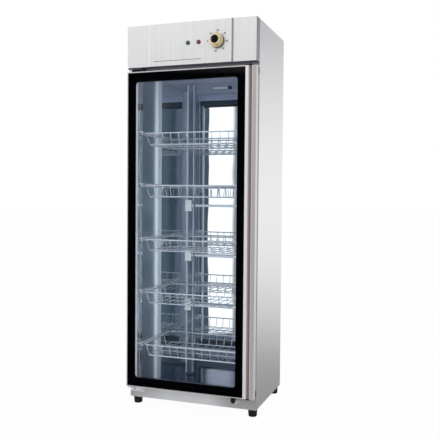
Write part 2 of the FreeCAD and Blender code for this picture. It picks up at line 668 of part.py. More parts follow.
def build_door():
    glass_left = -HALF_WIDTH + DOOR_LIP
    glass_bottom = DOOR_BOTTOM + DOOR_LIP
    glass_top = DOOR_TOP - DOOR_LIP
    gap = GLASS_EDGE_CLEARANCE
    glass_span = (glass_left + gap, HANDLE_LEFT_X - gap)
    glass_rise = (glass_bottom + gap, glass_top - gap)
    write_node("door_glass", block(*glass_span, GLASS_FRONT_Y, GLASS_BACK_Y, *glass_rise))
    border = block(*glass_span, GLASS_BACK_Y, FRAME_SEAT_Y, *glass_rise)
    write_node("door_border", border.cut(rounded_window(GLASS_BACK_Y - 1.0, FRAME_SEAT_Y + 1.0)))

    bushes = [hinge_bush(z0, z0 + PIN_IN_DOOR) for z0 in (DOOR_BOTTOM, DOOR_TOP - PIN_IN_DOOR)]
    write_node("hinge_bushes", *[bush.cut(bush_bore(bush)) for bush in bushes])

    left_stile = fused([
        block(-HALF_WIDTH, FRAME_LEFT_IN, FRAME_SEAT_Y, CARRIER_FRONT_Y, DOOR_BOTTOM, DOOR_TOP),
        block(-HALF_WIDTH, glass_left, DOOR_FRONT_Y, FRAME_SEAT_Y, DOOR_BOTTOM, DOOR_TOP)])
    write_node("door_frame_left", left_stile.cut(bushes))

    top_rail = fused([
        block(FRAME_LEFT_IN, FRAME_RIGHT_IN, FRAME_SEAT_Y, CARRIER_FRONT_Y, FRAME_TOP_IN, DOOR_TOP),
        block(glass_left, HANDLE_LEFT_X, DOOR_FRONT_Y, FRAME_SEAT_Y, glass_top, DOOR_TOP)])
    write_node("door_frame_top", top_rail)

    bottom_rail = fused([
        block(FRAME_LEFT_IN, FRAME_RIGHT_IN, FRAME_SEAT_Y, CARRIER_FRONT_Y, DOOR_BOTTOM, FRAME_BOTTOM_IN),
        block(glass_left, HANDLE_LEFT_X, DOOR_FRONT_Y, FRAME_SEAT_Y, DOOR_BOTTOM, glass_bottom)])
    write_node("door_frame_bottom", bottom_rail)

    profile = extrude_plan(handle_outline(), DOOR_BOTTOM, DOOR_TOP)
    groove_left = HANDLE_LEFT_X + HANDLE_FLANGE
    rounded = [(HANDLE_LEFT_X, DOOR_FRONT_Y), (groove_left, DOOR_FRONT_Y),
               (groove_left + GROOVE_MOUTH, DOOR_FRONT_Y), (HALF_WIDTH, DOOR_FRONT_Y)]
    profile = profile.makeFillet(HANDLE_EDGE_RADIUS, vertical_edges(profile, rounded))
    write_node("door_handle_profile", profile)
    write_node("handle_caps", handle_cap(DOOR_TOP, DOOR_TOP + HANDLE_CAP_TOP),
               handle_cap(DOOR_BOTTOM - HANDLE_CAP_BOTTOM, DOOR_BOTTOM))
    build_door_seal()


def hinge_bush(z0, z1):
    """Outer shape of the bush that fills the pin seat in the door."""
    return post(PIN_X, PIN_Y, z0, z1, PIN_RADIUS + PIN_RUNNING_CLEARANCE + BUSH_WALL)


def bush_bore(bush):
    return post(PIN_X, PIN_Y, bush.BoundBox.ZMin, bush.BoundBox.ZMax, PIN_RADIUS + PIN_RUNNING_CLEARANCE)


def ring_strips(left, right, bottom, top, width, y0, y1):
    """Four straight strips around an opening: left, right, and top and bottom between them."""
    return [block(left, left + width, y0, y1, bottom, top),
            block(right - width, right, y0, y1, bottom, top),
            block(left + width, right - width, y0, y1, top - width, top),
            block(left + width, right - width, y0, y1, bottom, bottom + width)]


def build_door_seal():
    """Seal carrier, soft seal and the two corner buffers on the back of the door."""
    left = -HALF_WIDTH + CARRIER_SETBACK
    right = HALF_WIDTH - CARRIER_SETBACK
    bottom = DOOR_BOTTOM + CARRIER_SETBACK
    top = DOOR_TOP - CARRIER_SETBACK
    buffers = []
    for z0 in (bottom, top - BUFFER_HEIGHT):
        buffers.append(block(right - BUFFER_WIDTH, right + CARRIER_SETBACK - BUFFER_GAP,
                             CARRIER_FRONT_Y, -BUFFER_GAP, z0, z0 + BUFFER_HEIGHT))
    strips = ring_strips(left, right, bottom, top, CARRIER_WIDTH, CARRIER_FRONT_Y, DOOR_BACK_Y)
    write_node("seal_carrier", *[strip.cut(buffers + [tongue_slot()]) for strip in strips])
    seal = ring_strips(-HALF_WIDTH + LEFT_SEAL_INSET, HALF_WIDTH - RIGHT_SEAL_INSET,
                       DOOR_BOTTOM + END_SEAL_INSET, DOOR_TOP - END_SEAL_INSET,
                       SEAL_WIDTH, DOOR_BACK_Y, -SEAL_CLEARANCE)
    write_node("door_seal", *[strip.cut(buffers) for strip in seal])
    write_node("corner_buffers", *buffers)


# ---------------------------------------------------------------- control header

def header_outline(inset):
    """Plan of the header front: flat wings and a raised centre panel with bevelled sides."""
    edge = HALF_WIDTH - inset
    wing_y = -HEADER_PROUD + inset
    raised_y = RAISED_FACE_Y + inset
    shelf = RAISED_PANEL_WIDTH / 2
    foot = shelf + RAISED_PANEL_BEVEL
    return [(-edge, 0), (-edge, wing_y), (-foot, wing_y), (-shelf, raised_y),
            (shelf, raised_y), (foot, wing_y), (edge, wing_y), (edge, 0)]


def header_shell():
    outer = extrude_plan(header_outline(0.0), HEADER_BOTTOM, BODY_HEIGHT)
    corners = [(-HALF_WIDTH, -HEADER_PROUD), (HALF_WIDTH, -HEADER_PROUD)]
    outer = outer.makeFillet(HEADER_EDGE_RADIUS, vertical_edges(outer, corners))
    inner = extrude_plan(header_outline(FASCIA_SHEET),
                         HEADER_BOTTOM + FASCIA_SHEET, BODY_HEIGHT - FASCIA_SHEET)
    return outer.cut(inner)


def lamp_stem(x):
    return disc(x, RAISED_FACE_Y, RAISED_FACE_Y + LAMP_STEM_LENGTH, CONTROL_LINE_HEIGHT, LAMP_STEM_RADIUS)


def lamp_bezel(x):
    front = RAISED_FACE_Y - LAMP_BEZEL_HEIGHT
    ring = disc(x, front, RAISED_FACE_Y, CONTROL_LINE_HEIGHT, LAMP_BEZEL_RADIUS)
    return ring.makeFillet(1.0, edges_at_front(ring)).cut(lamp_lens_blank(x))


def lamp_lens_blank(x):
    return disc(x, RAISED_FACE_Y - LAMP_LENS_HEIGHT, RAISED_FACE_Y, CONTROL_LINE_HEIGHT, LAMP_LENS_RADIUS)


def lamp_lens(x):
    """Lens with a softly rounded front."""
    lens = lamp_lens_blank(x)
    return lens.makeFillet(1.8, edges_at_front(lens))


def build_header():
    back_of_face = RAISED_FACE_Y + FASCIA_SHEET
    bush = disc(TIMER_X, RAISED_FACE_Y, back_of_face, CONTROL_LINE_HEIGHT, TIMER_BUSH_RADIUS)
    stems = [lamp_stem(x) for x in (GREEN_LAMP_X, RED_LAMP_X)]
    write_node("header_fascia", header_shell().cut([bush] + stems))
    write_node("lamp_green_lens", lamp_lens(GREEN_LAMP_X))
    write_node("lamp_red_lens", lamp_lens(RED_LAMP_X))
    write_node("lamp_bezels", *[lamp_bezel(x) for x in (GREEN_LAMP_X, RED_LAMP_X)])
    write_node("lamp_bodies", *stems)

    half = TIMER_BODY_SIZE / 2
    case = block(TIMER_X - half, TIMER_X + half, back_of_face, back_of_face + TIMER_BODY_DEPTH,
                 CONTROL_LINE_HEIGHT - half, CONTROL_LINE_HEIGHT + half)
    bore = disc(TIMER_X, RAISED_FACE_Y, back_of_face + TIMER_BODY_DEPTH * 0.7, CONTROL_LINE_HEIGHT,
                TIMER_SHAFT_RADIUS + SHAFT_RUNNING_CLEARANCE)
    write_node("timer_body", fused([case, bush]).cut(bore))


def build_timer_knob():
    """Turning part of the timer: shaft, gold knob and black insert."""
    back = RAISED_FACE_Y - KNOB_GAP
    skirt_front = RAISED_FACE_Y - KNOB_SKIRT_DEPTH
    front = RAISED_FACE_Y - KNOB_REACH
    dish = skirt_front + KNOB_DISH_DEPTH
    seat = front + KNOB_INSERT_DEPTH
    bevel = 1.5
    knob = turned([
        (TIMER_SHAFT_RADIUS, back), (KNOB_RADIUS, back), (KNOB_RADIUS, skirt_front + bevel),
        (KNOB_RADIUS - bevel, skirt_front), (KNOB_RADIUS - KNOB_RIM_WIDTH, skirt_front),
        (KNOB_BARREL_RADIUS + 1.0, dish), (KNOB_BARREL_RADIUS, front + bevel),
        (KNOB_BARREL_RADIUS - bevel, front), (KNOB_INSERT_RADIUS, front),
        (KNOB_INSERT_RADIUS, seat), (TIMER_SHAFT_RADIUS, seat)], TIMER_X, CONTROL_LINE_HEIGHT)
    write_node("timer_knob", knob)

    insert = disc(TIMER_X, front, seat, CONTROL_LINE_HEIGHT, KNOB_INSERT_RADIUS)
    groove = block(TIMER_X - KNOB_INSERT_RADIUS, TIMER_X - KNOB_INSERT_RADIUS * 0.35,
                   front, front + POINTER_DEPTH,
                   CONTROL_LINE_HEIGHT - POINTER_WIDTH / 2, CONTROL_LINE_HEIGHT + POINTER_WIDTH / 2)
    write_node("timer_knob_insert", insert.cut(groove))
    shaft_end = RAISED_FACE_Y + FASCIA_SHEET + TIMER_BODY_DEPTH * 0.5
    write_node("timer_shaft", disc(TIMER_X, seat, shaft_end, CONTROL_LINE_HEIGHT, TIMER_SHAFT_RADIUS))


def build_compartment():
    """Deck of the control compartment and what stands on it."""
    deck_top = DECK_HEIGHT + SHEET
    skin_x = HALF_WIDTH - SHEET
    write_node("control_deck", block(-skin_x, skin_x, POST_DEPTH, BODY_DEPTH - 2 * SHEET,
                                     DECK_HEIGHT, deck_top))
    length = TERMINAL_LENGTH / 2
    y0 = BODY_DEPTH * 0.62
    terminal = block(-length, length, y0, y0 + TERMINAL_DEPTH, deck_top, deck_top + TERMINAL_HEIGHT)
    write_node("terminal_block", terminal)
    cutout = post(TERMINAL_LENGTH, BODY_DEPTH * 0.4, deck_top, deck_top + CUTOUT_HEIGHT, CUTOUT_RADIUS)
    write_node("thermal_cutout", cutout)


# ---------------------------------------------------------------- chamber fittings

def upright():
    """Slotted channel on the left inner wall."""
    z0 = FLOOR_RISE + UPRIGHT_END_GAP
    z1 = CEILING_HEIGHT - UPRIGHT_END_GAP
    y0, y1 = UPRIGHT_FRONT, UPRIGHT_FRONT + UPRIGHT_WIDTH
    channel = block(-INNER_X, -UPRIGHT_FACE_X, y0, y1, z0, z1)
    hollow = block(-INNER_X, -UPRIGHT_FACE_X - UPRIGHT_SHEET,
                   y0 + UPRIGHT_SHEET, y1 - UPRIGHT_SHEET, z0, z1)
    count = int((z1 - z0 - SLOT_FIRST) / SLOT_PITCH)
    middle = (y0 + y1) / 2
    slots = [block(-UPRIGHT_FACE_X - 2 * UPRIGHT_SHEET, -UPRIGHT_FACE_X, middle - SLOT_WIDTH / 2,
                   middle + SLOT_WIDTH / 2, z, z + SLOT_LENGTH)
             for z in (z0 + SLOT_FIRST + i * SLOT_PITCH for i in range(count))]
    return channel.cut([hollow] + slots)


def basket_bracket(level):
    """Left bracket of one basket: a guide wire beside the rim and a rest wire under it."""
    guide_z = level + GUIDE_RISE
    rest_z = level - REST_DROP
    guide = bent_rod([vec(-POST_X - HOOK_POCKET_DEPTH, HOOK_Y, guide_z), vec(-GUIDE_X, HOOK_Y, guide_z),
                      vec(-GUIDE_X, INNER_BACK, guide_z)], BRACKET_BEND, GUIDE_RADIUS)
    front = HOOK_Y + BRACKET_BEND
    back = INNER_BACK - REST_ENDS_INSET
    rest = bent_rod([vec(-GUIDE_X, front, guide_z), vec(-GUIDE_X, front, rest_z),
                     vec(-REST_X, front + 3 * REST_RADIUS, rest_z), vec(-REST_X, back, rest_z)],
                    REST_RADIUS * 1.2, REST_RADIUS)
    stay = rod(vec(-GUIDE_X, back, guide_z), vec(-REST_X, back, rest_z), REST_RADIUS * 0.9)
    clip_y = UPRIGHT_FRONT + UPRIGHT_WIDTH / 4
    clip = rod(vec(-UPRIGHT_FACE_X, clip_y, guide_z), vec(-GUIDE_X, clip_y, guide_z), GUIDE_RADIUS * 0.8)
    return fused([guide, rest, stay, clip])


def build_chamber():
    channel = upright()
    write_node("uprights", channel, mirrored_x(channel))
    brackets = [basket_bracket(level) for level in BASKET_LEVELS]
    write_node("basket_brackets", *(brackets + [mirrored_x(bracket) for bracket in brackets]))

    strip = heater_channel()
    write_node("heater_channels", strip, mirrored_x(strip))

    tubes = [heating_tube(level) for level in HEATER_LEVELS]
    holders = [ceramic_holder(level).cut(tube) for level, tube in zip(HEATER_LEVELS, tubes)]
    write_node("heating_tubes", *tubes)
    write_node("ceramic_holders", *(holders + [mirrored_x(holder) for holder in holders]))
    write_node("thermostat_bulb", *thermostat_bulb())


def heater_channel():
    """Left strip behind the tube holders, with two lengthwise grooves in its front."""
    half = CHANNEL_WIDTH / 2
    front = INNER_BACK - CHANNEL_DEPTH
    z0 = FLOOR_RISE + UPRIGHT_END_GAP
    z1 = CEILING_HEIGHT - UPRIGHT_END_GAP
    strip = block(-CHANNEL_X - half, -CHANNEL_X + half, front, INNER_BACK, z0, z1)
    reach = half - CHANNEL_GROOVE_INSET
    grooves = [block(x - CHANNEL_GROOVE_WIDTH / 2, x + CHANNEL_GROOVE_WIDTH / 2,
                     front, front + CHANNEL_GROOVE_DEPTH, z0, z1)
               for x in (-CHANNEL_X - reach, -CHANNEL_X + reach)]
    return strip.cut(grooves)


def thermostat_bulb():
    """Bulb with its clip, and the grommet that it comes out of."""
    y = INNER_BACK - BULB_TO_BACK
    z = CEILING_HEIGHT - BULB_DROP
    end = GROMMET_X - GROMMET_RADIUS + BULB_IN_GROMMET
    bulb = rod(vec(BULB_LEFT_X, y, z), vec(end, y, z), BULB_RADIUS)
    reach = BULB_RADIUS + CLIP_WALL
    clip = block(CLIP_X - CLIP_WIDTH / 2, CLIP_X + CLIP_WIDTH / 2, y - reach, INNER_BACK, z - reach, z + reach)
    grommet = disc(GROMMET_X, INNER_BACK - GROMMET_DEPTH, INNER_BACK, z, GROMMET_RADIUS)
    return [fused([bulb, clip]), grommet.cut(bulb)]


def ceramic_holder(level):
    """Left tube holder: a ceramic block with two shallow grooves across its front and a collar."""
    back = INNER_BACK - CHANNEL_DEPTH
    half = HOLDER_WIDTH / 2
    tall = HOLDER_HEIGHT / 2
    front = back - HOLDER_DEPTH
    body = block(-CHANNEL_X - half, -CHANNEL_X + half, front, back, level - tall, level + tall)
    grooves = [block(-CHANNEL_X - half, -CHANNEL_X + half, front, front + HOLDER_WAIST, z - 2.0, z + 2.0)
               for z in (level - tall * 0.62, level + tall * 0.62)]
    side = vec(-CHANNEL_X + half, (front + back) / 2, level)
    collar = rod(side, side + vec(COLLAR_LENGTH, 0, 0), COLLAR_RADIUS)
    return fused([body.cut(grooves), collar])


def heating_tube(level):
    """Quartz tube through the two collars, into the holders."""
    end = CHANNEL_X - HOLDER_WIDTH / 2 + TUBE_IN_HOLDER
    y = INNER_BACK - CHANNEL_DEPTH - HOLDER_DEPTH / 2
    return rod(vec(-end, y, level), vec(end, y, level), TUBE_RADIUS)


# ---------------------------------------------------------------- baskets

def grille(bar, legs, ring_bar):
    """Bar with its row of legs, ending on the surface of the floor ring."""
    return fused([bar] + [leg.cut(ring_bar) for leg in legs])


def basket_pieces():
    """One basket with its rim centre line at z = 0: floor, sides and rim corners."""
    ring_x = RIM_X - BASKET_SIDE_TAPER
    ring_front = BASKET_FRONT + BASKET_TAPER
    ring_back = BASKET_BACK - BASKET_TAPER
    floor_z = -BASKET_DROP
    cross_z = floor_z - 2 * WIRE_RADIUS + WIRE_WELD
    count = int((ring_x - RING_BEND) / WIRE_PITCH)
    columns = [index * WIRE_PITCH for index in range(-count, count + 1)]
    rows = [ring_front + share * (ring_back - ring_front) for share in CROSS_WIRE_SHARES]

    half_ring = bent_rod([vec(0, ring_front, floor_z), vec(-ring_x, ring_front, floor_z),
                          vec(-ring_x, ring_back, floor_z), vec(0, ring_back, floor_z)],
                         RING_BEND, RING_RADIUS)
    floor = [half_ring, mirrored_x(half_ring)]
    floor += [rod(vec(x, ring_front, floor_z), vec(x, ring_back, floor_z), WIRE_RADIUS) for x in columns]
    floor += [rod(vec(-ring_x, y, cross_z), vec(ring_x, y, cross_z), WIRE_RADIUS) for y in rows]

    straight = RIM_X - RIM_BEND
    ends = []
    for bar_y, ring_y in ((BASKET_FRONT, ring_front), (BASKET_BACK, ring_back)):
        bar = rod(vec(-straight, bar_y, 0), vec(straight, bar_y, 0), RIM_RADIUS)
        legs = [rod(vec(x, bar_y, 0), vec(x, ring_y, floor_z), WIRE_RADIUS) for x in columns]
        ring_bar = rod(vec(-ring_x, ring_y, floor_z), vec(ring_x, ring_y, floor_z), RING_RADIUS)
        ends.append(grille(bar, legs, ring_bar))

    side_bar = rod(vec(-RIM_X, BASKET_FRONT + RIM_BEND, 0),
                   vec(-RIM_X, BASKET_BACK - RIM_BEND, 0), RIM_RADIUS)
    side_legs = [rod(vec(-RIM_X, y, 0), vec(-ring_x, y, floor_z), WIRE_RADIUS) for y in rows]
    side_ring = rod(vec(-ring_x, ring_front, floor_z), vec(-ring_x, ring_back, floor_z), RING_RADIUS)
    side = grille(side_bar, side_legs, side_ring)

    return [fused(floor), side, mirrored_x(side)] + ends + rim_corners()


def rim_corners():
    """The four bent corners of a basket rim."""
    straight = RIM_X - RIM_BEND
    corners = []
    for bar_y, turn in ((BASKET_FRONT, 1), (BASKET_BACK, -1)):
        arc = Part.Arc(vec(-straight, bar_y, 0),
                       vec(-straight - RIM_BEND * math.sqrt(0.5),
                           bar_y + turn * RIM_BEND * (1 - math.sqrt(0.5)), 0),
                       vec(-RIM_X, bar_y + turn * RIM_BEND, 0)).toShape()
        section = Part.Wire(Part.makeCircle(RIM_RADIUS, vec(-straight, bar_y, 0), vec(1, 0, 0)))
        corner = Part.Wire([arc]).makePipeShell([section], True, True)
        corners += [corner, mirrored_x(corner)]
    return corners


def build_baskets():
    pieces = basket_pieces()
    for index, level in enumerate(BASKET_LEVELS, start=1):
        write_node("basket_%d" % index, *[piece.translated(vec(0, 0, level)) for piece in pieces])


os.makedirs("parts", exist_ok=True)
foot_studs = [foot_stud(x, y) for x, y in foot_places()]
lower_screws = bottom_bracket_screws()
build_shell(foot_studs, lower_screws)
build_feet(foot_studs)
build_liner()
build_insulation(foot_studs)
build_sill(lower_screws)
build_lock()
build_hinges()
build_door()
build_header()
build_timer_knob()
build_compartment()
build_chamber()
build_baskets()
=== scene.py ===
import json
import math

import bmesh
import bpy
from mathutils import Matrix, Vector


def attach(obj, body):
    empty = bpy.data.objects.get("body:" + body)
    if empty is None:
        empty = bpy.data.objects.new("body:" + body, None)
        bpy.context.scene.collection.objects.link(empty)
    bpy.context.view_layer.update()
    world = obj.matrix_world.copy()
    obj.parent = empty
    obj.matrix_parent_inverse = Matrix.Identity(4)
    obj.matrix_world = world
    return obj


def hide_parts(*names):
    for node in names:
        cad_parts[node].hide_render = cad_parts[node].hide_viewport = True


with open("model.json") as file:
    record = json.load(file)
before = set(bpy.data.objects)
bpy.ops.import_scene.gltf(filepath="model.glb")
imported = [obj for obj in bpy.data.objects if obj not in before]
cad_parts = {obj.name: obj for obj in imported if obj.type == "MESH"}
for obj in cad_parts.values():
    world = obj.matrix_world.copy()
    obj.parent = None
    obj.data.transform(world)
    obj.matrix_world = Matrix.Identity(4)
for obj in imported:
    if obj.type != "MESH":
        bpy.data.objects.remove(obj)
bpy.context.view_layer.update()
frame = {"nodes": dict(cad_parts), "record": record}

# Dish sterilizer cabinet: looks. Sizes are millimetres in the cabinet's working frame (X right,
# Y back from the body's front face, Z up from the underside of the body); mm() turns them to the frame.

SHIFT_Y = -170.0             # body's front face to the middle of the overall depth
FOOT_HEIGHT = 35.0


def mm(x, y, z):
    return Vector((x / 1000.0, (y + SHIFT_Y) / 1000.0, (z + FOOT_HEIGHT) / 1000.0))


# ------------------------------------------------------------------ camera

CAMERA_PLACE = (1065.709, -2668.579, 918.516)
CAMERA_ANGLES = (19.355, 2.044, 0.481)      # degrees: left, down, roll
FOCAL_PIXELS, IMAGE_PIXELS = 651.314, 440.0
SENSOR = 36.0


def make_camera():
    yaw, pitch, roll = (math.radians(angle) for angle in CAMERA_ANGLES)
    forward = Vector((-math.sin(yaw) * math.cos(pitch), math.cos(yaw) * math.cos(pitch), -math.sin(pitch)))
    right = forward.cross(Vector((0, 0, 1))).normalized()
    up = right.cross(forward)
    level_right, level_up = right, up
    right = level_right * math.cos(roll) + level_up * math.sin(roll)
    up = level_up * math.cos(roll) - level_right * math.sin(roll)
    data = bpy.data.cameras.new("camera")
    data.sensor_fit = "HORIZONTAL"
    data.sensor_width = SENSOR
    data.lens = FOCAL_PIXELS * SENSOR / IMAGE_PIXELS
    data.clip_end = 60.0
    camera = bpy.data.objects.new("camera", data)
    turn = Matrix((right, up, -forward)).transposed().to_4x4()
    camera.matrix_world = Matrix.Translation(mm(*CAMERA_PLACE)) @ turn
    bpy.context.scene.collection.objects.link(camera)
    bpy.context.scene.camera = camera


make_camera()
bpy.context.scene.view_settings.view_transform = "Standard"


# ------------------------------------------------------------------ node helpers

class Nodes:
    """Shorthand for building one node tree."""

    def __init__(self, tree):
        self.tree = tree
        tree.nodes.clear()

    def add(self, kind, **inputs):
        node = self.tree.nodes.new(kind)
        for name, value in inputs.items():
            node.inputs[name.replace("_", " ")].default_value = value
        return node

    def join(self, source, target):
        self.tree.links.new(source, target)

    def math(self, operation, first, second=None, clamp=False):
        node = self.tree.nodes.new("ShaderNodeMath")
        node.operation = operation
        node.use_clamp = clamp
        for socket, value in zip(node.inputs, (first, second)):
            if value is None:
                continue
            if isinstance(value, (int, float)):
                socket.default_value = value
            else:
                self.join(value, socket)
        return node.outputs[0]

    def noise(self, scale=(1, 1, 1), size=1.0, detail=3.0, seed=0.0):
        """Noise in object space; scale stretches it along the axes."""
        where = self.tree.nodes.new("ShaderNodeTexCoord")
        mapping = self.tree.nodes.new("ShaderNodeMapping")
        mapping.inputs["Scale"].default_value = scale
        mapping.inputs["Location"].default_value = (seed, seed * 1.7, seed * 0.6)
        noise = self.tree.nodes.new("ShaderNodeTexNoise")
        noise.inputs["Scale"].default_value = size
        noise.inputs["Detail"].default_value = detail
        self.join(where.outputs["Object"], mapping.inputs["Vector"])
        self.join(mapping.outputs["Vector"], noise.inputs["Vector"])
        return noise.outputs["Fac"]

    def spread(self, value, low, high):
        """Noise value (about 0.3 to 0.7) spread between low and high."""
        node = self.tree.nodes.new("ShaderNodeMapRange")
        node.inputs["From Min"].default_value = 0.3
        node.inputs["From Max"].default_value = 0.7
        node.inputs["To Min"].default_value = low
        node.inputs["To Max"].default_value = high
        self.join(value, node.inputs["Value"])
        return node.outputs["Result"]

    def tint(self, value, dark, light):
        """Colour between dark and light by a noise value."""
        return self.blend(self.spread(value, 0.0, 1.0), tuple(dark), tuple(light))

    def blend(self, share, first, second, kind="MIX"):
        """Colour mix; each argument is a socket, a number or a colour."""
        node = self.tree.nodes.new("ShaderNodeMix")
        node.data_type = "RGBA"
        node.blend_type = kind
        for socket, value in ((node.inputs[0], share), (node.inputs[6], first), (node.inputs[7], second)):
            if isinstance(value, tuple):
                socket.default_value = (*value, 1)
            elif isinstance(value, (int, float)):
                socket.default_value = value
            else:
                self.join(value, socket)
        return node.outputs[2]

    def step(self, value, edge, width):
        """0 below the edge, 1 above it."""
        node = self.tree.nodes.new("ShaderNodeMapRange")
        node.interpolation_type = "SMOOTHSTEP"
        node.inputs["From Min"].default_value = edge - width
        node.inputs["From Max"].default_value = edge + width
        self.join(value, node.inputs["Value"])
        return node.outputs["Result"]

    def inside(self, value, low, high, width):
        """1 between low and high, 0 outside them."""
        return self.math("SUBTRACT", self.step(value, low, width), self.step(value, high, width))

    def facing(self, axis, sign=1, least=0.5):
        """1 where the surface faces along the axis, else 0."""
        normal = self.tree.nodes.new("ShaderNodeNewGeometry").outputs["True Normal"]
        split = self.tree.nodes.new("ShaderNodeSeparateXYZ")
        self.join(normal, split.inputs[0])
        return self.math("GREATER_THAN", self.math("MULTIPLY", split.outputs[axis], float(sign)), least)

    def place(self, axis):
        """Coordinate in the frame, in metres."""
        split = self.tree.nodes.new("ShaderNodeSeparateXYZ")
        self.join(self.tree.nodes.new("ShaderNodeTexCoord").outputs["Object"], split.inputs[0])
        return split.outputs[axis]

    def finish(self, surface):
        self.join(surface.outputs[0], self.add("ShaderNodeOutputMaterial").inputs["Surface"])

    def mixed(self, share, first, second):
        """Mix of two shaders."""
        node = self.tree.nodes.new("ShaderNodeMixShader")
        for socket, source in zip(node.inputs, (share, first.outputs[0], second.outputs[0])):
            self.join(source, socket)
        return node

    def bump(self, value, strength, distance):
        node = self.tree.nodes.new("ShaderNodeBump")
        node.inputs["Strength"].default_value = strength
        node.inputs["Distance"].default_value = distance
        self.join(value, node.inputs["Height"])
        return node.outputs["Normal"]


def material(name):
    made = bpy.data.materials.new(name)
    made.use_nodes = True
    return made, Nodes(made.node_tree)


def shaded(name, color, metallic=0.0, roughness=0.5, variation=0.04, grain=(1, 1, 1), size=40.0,
           rough_variation=0.06, bump=0.1, bump_distance=0.0002, coat=0.0, specular=0.5):
    """Solid material with colour, roughness and relief that vary with one noise."""
    made, nodes = material(name)
    noise = nodes.noise(grain, size, 4.0)
    surface = nodes.add("ShaderNodeBsdfPrincipled", Metallic=metallic, IOR=1.5)
    surface.inputs["Coat Weight"].default_value = coat
    surface.inputs["Coat Roughness"].default_value = 0.1
    surface.inputs["Specular IOR Level"].default_value = specular
    dark = [c * (1 - variation) for c in color]
    light = [min(1.0, c * (1 + variation)) for c in color]
    nodes.join(nodes.tint(noise, dark, light), surface.inputs["Base Color"])
    low, high = roughness - rough_variation, roughness + rough_variation
    nodes.join(nodes.spread(noise, low, high), surface.inputs["Roughness"])
    nodes.join(nodes.bump(noise, bump, bump_distance), surface.inputs["Normal"])
    nodes.finish(surface)
    return made


def glass(name, color, ior, tint):
    """Clear glass that lets lamps and mirrored rays through to what is behind it."""
    made, nodes = material(name)
    surface = nodes.add("ShaderNodeBsdfPrincipled", Roughness=0.0, IOR=ior)
    surface.inputs["Base Color"].default_value = (*color, 1)
    surface.inputs["Transmission Weight"].default_value = 1.0
    smear = nodes.noise((1, 1, 1), 3.0)
    nodes.join(nodes.bump(smear, 0.01, 0.0003), surface.inputs["Normal"])
    clear = nodes.add("ShaderNodeBsdfTransparent", Color=(*tint, 1))
    path = nodes.add("ShaderNodeLightPath")
    unseen = nodes.math("MAXIMUM", path.outputs["Is Shadow Ray"], path.outputs["Is Diffuse Ray"])
    mirrored = nodes.math("SUBTRACT", path.outputs["Is Glossy Ray"], path.outputs["Is Transmission Ray"])
    nodes.finish(nodes.mixed(nodes.math("MAXIMUM", unseen, mirrored), surface, clear))
    return made


# ------------------------------------------------------------------ materials, one per slot

FLAT = (1, 1, 1)
BRUSHED_X = (3, 3, 500)      # streaks run level across a front or side
BRUSHED_Z = (500, 500, 3)    # streaks run up and down

LOOKS = {
    "side_panels": shaded("side_panel_steel", (0.86, 0.86, 0.87), 0.92, 0.30, 0.015, (500, 2, 500), 1.0,
                          0.03, 0.03),
    "galvanised": shaded("galvanised_steel", (0.60, 0.62, 0.64), 0.7, 0.5, 0.10, FLAT, 60.0, 0.08, 0.05),
    "insulation": shaded("mineral_wool", (0.75, 0.72, 0.62), 0.0, 0.95, 0.15, FLAT, 90.0, 0.03, 0.6, 0.002),
    "foot_rubber": shaded("foot_rubber", (0.006, 0.006, 0.007), 0.0, 0.6, 0.2, FLAT, 120.0, 0.1, 0.15,
                          specular=0.25),
    "zinc": shaded("zinc_plate", (0.72, 0.72, 0.72), 1.0, 0.3, 0.06, FLAT, 200.0),
    "hinge_steel": shaded("hinge_steel", (0.82, 0.81, 0.84), 0.6, 0.28, 0.03, BRUSHED_Z, 1.0, 0.05, 0.04),
    "door_metal": shaded("door_edge_steel", (0.84, 0.78, 0.77), 0.6, 0.3, 0.03, BRUSHED_Z, 1.0, 0.05, 0.04),
    "glass_border": shaded("border_print", (0.001, 0.001, 0.0015), 0.0, 0.6, 0.1, FLAT, 30.0, 0.05, 0.02,
                           specular=0.0),
    "cap_plastic": shaded("cap_plastic", (0.006, 0.006, 0.006), 0.0, 0.45, 0.15, FLAT, 300.0, 0.08, 0.1,
                          specular=0.3),
    "bush_plastic": shaded("bush_plastic", (0.72, 0.71, 0.66), 0.0, 0.5, 0.05, FLAT, 200.0),
    "seal_rubber": shaded("seal_rubber", (0.40, 0.41, 0.45), 0.0, 0.6, 0.05, FLAT, 150.0),
    "buffer_rubber": shaded("buffer_rubber", (0.035, 0.035, 0.037), 0.0, 0.6, 0.15, FLAT, 150.0),
    "lamp_bezel": shaded("lamp_ring", (0.05, 0.055, 0.06), 0.2, 0.3, 0.1, FLAT, 200.0),
    "dark_plastic": shaded("dark_plastic", (0.06, 0.06, 0.06), 0.0, 0.5, 0.1, FLAT, 200.0),
    "knob_gold": shaded("knob_gold", (0.93, 0.84, 0.60), 0.8, 0.24, 0.05, FLAT, 300.0, 0.06, 0.05),
    "knob_black": shaded("knob_black", (0.002, 0.002, 0.002), 0.0, 0.4, 0.1, FLAT, 300.0, specular=0.15),
    "shaft_steel": shaded("shaft_steel", (0.78, 0.78, 0.79), 1.0, 0.18, 0.03, FLAT, 200.0),
    "wire_chrome": shaded("wire_chrome", (0.95, 0.95, 0.99), 0.70, 0.16, 0.03, FLAT, 150.0, 0.04, 0.03),
    "stop_nylon": shaded("stop_nylon", (0.88, 0.88, 0.86), 0.0, 0.45, 0.03, FLAT, 200.0),
    "lamp_green": shaded("lamp_green", (0.008, 0.07, 0.045), 0.0, 0.15, 0.2, FLAT, 500.0, 0.05, 0.2, coat=1.0),
    "lamp_red": shaded("lamp_red", (0.20, 0.012, 0.025), 0.0, 0.15, 0.2, FLAT, 500.0, 0.05, 0.2, coat=1.0),
    "door_glass": glass("door_glass", (0.95, 0.97, 0.98), 1.30, (0.92, 0.95, 0.97)),
}


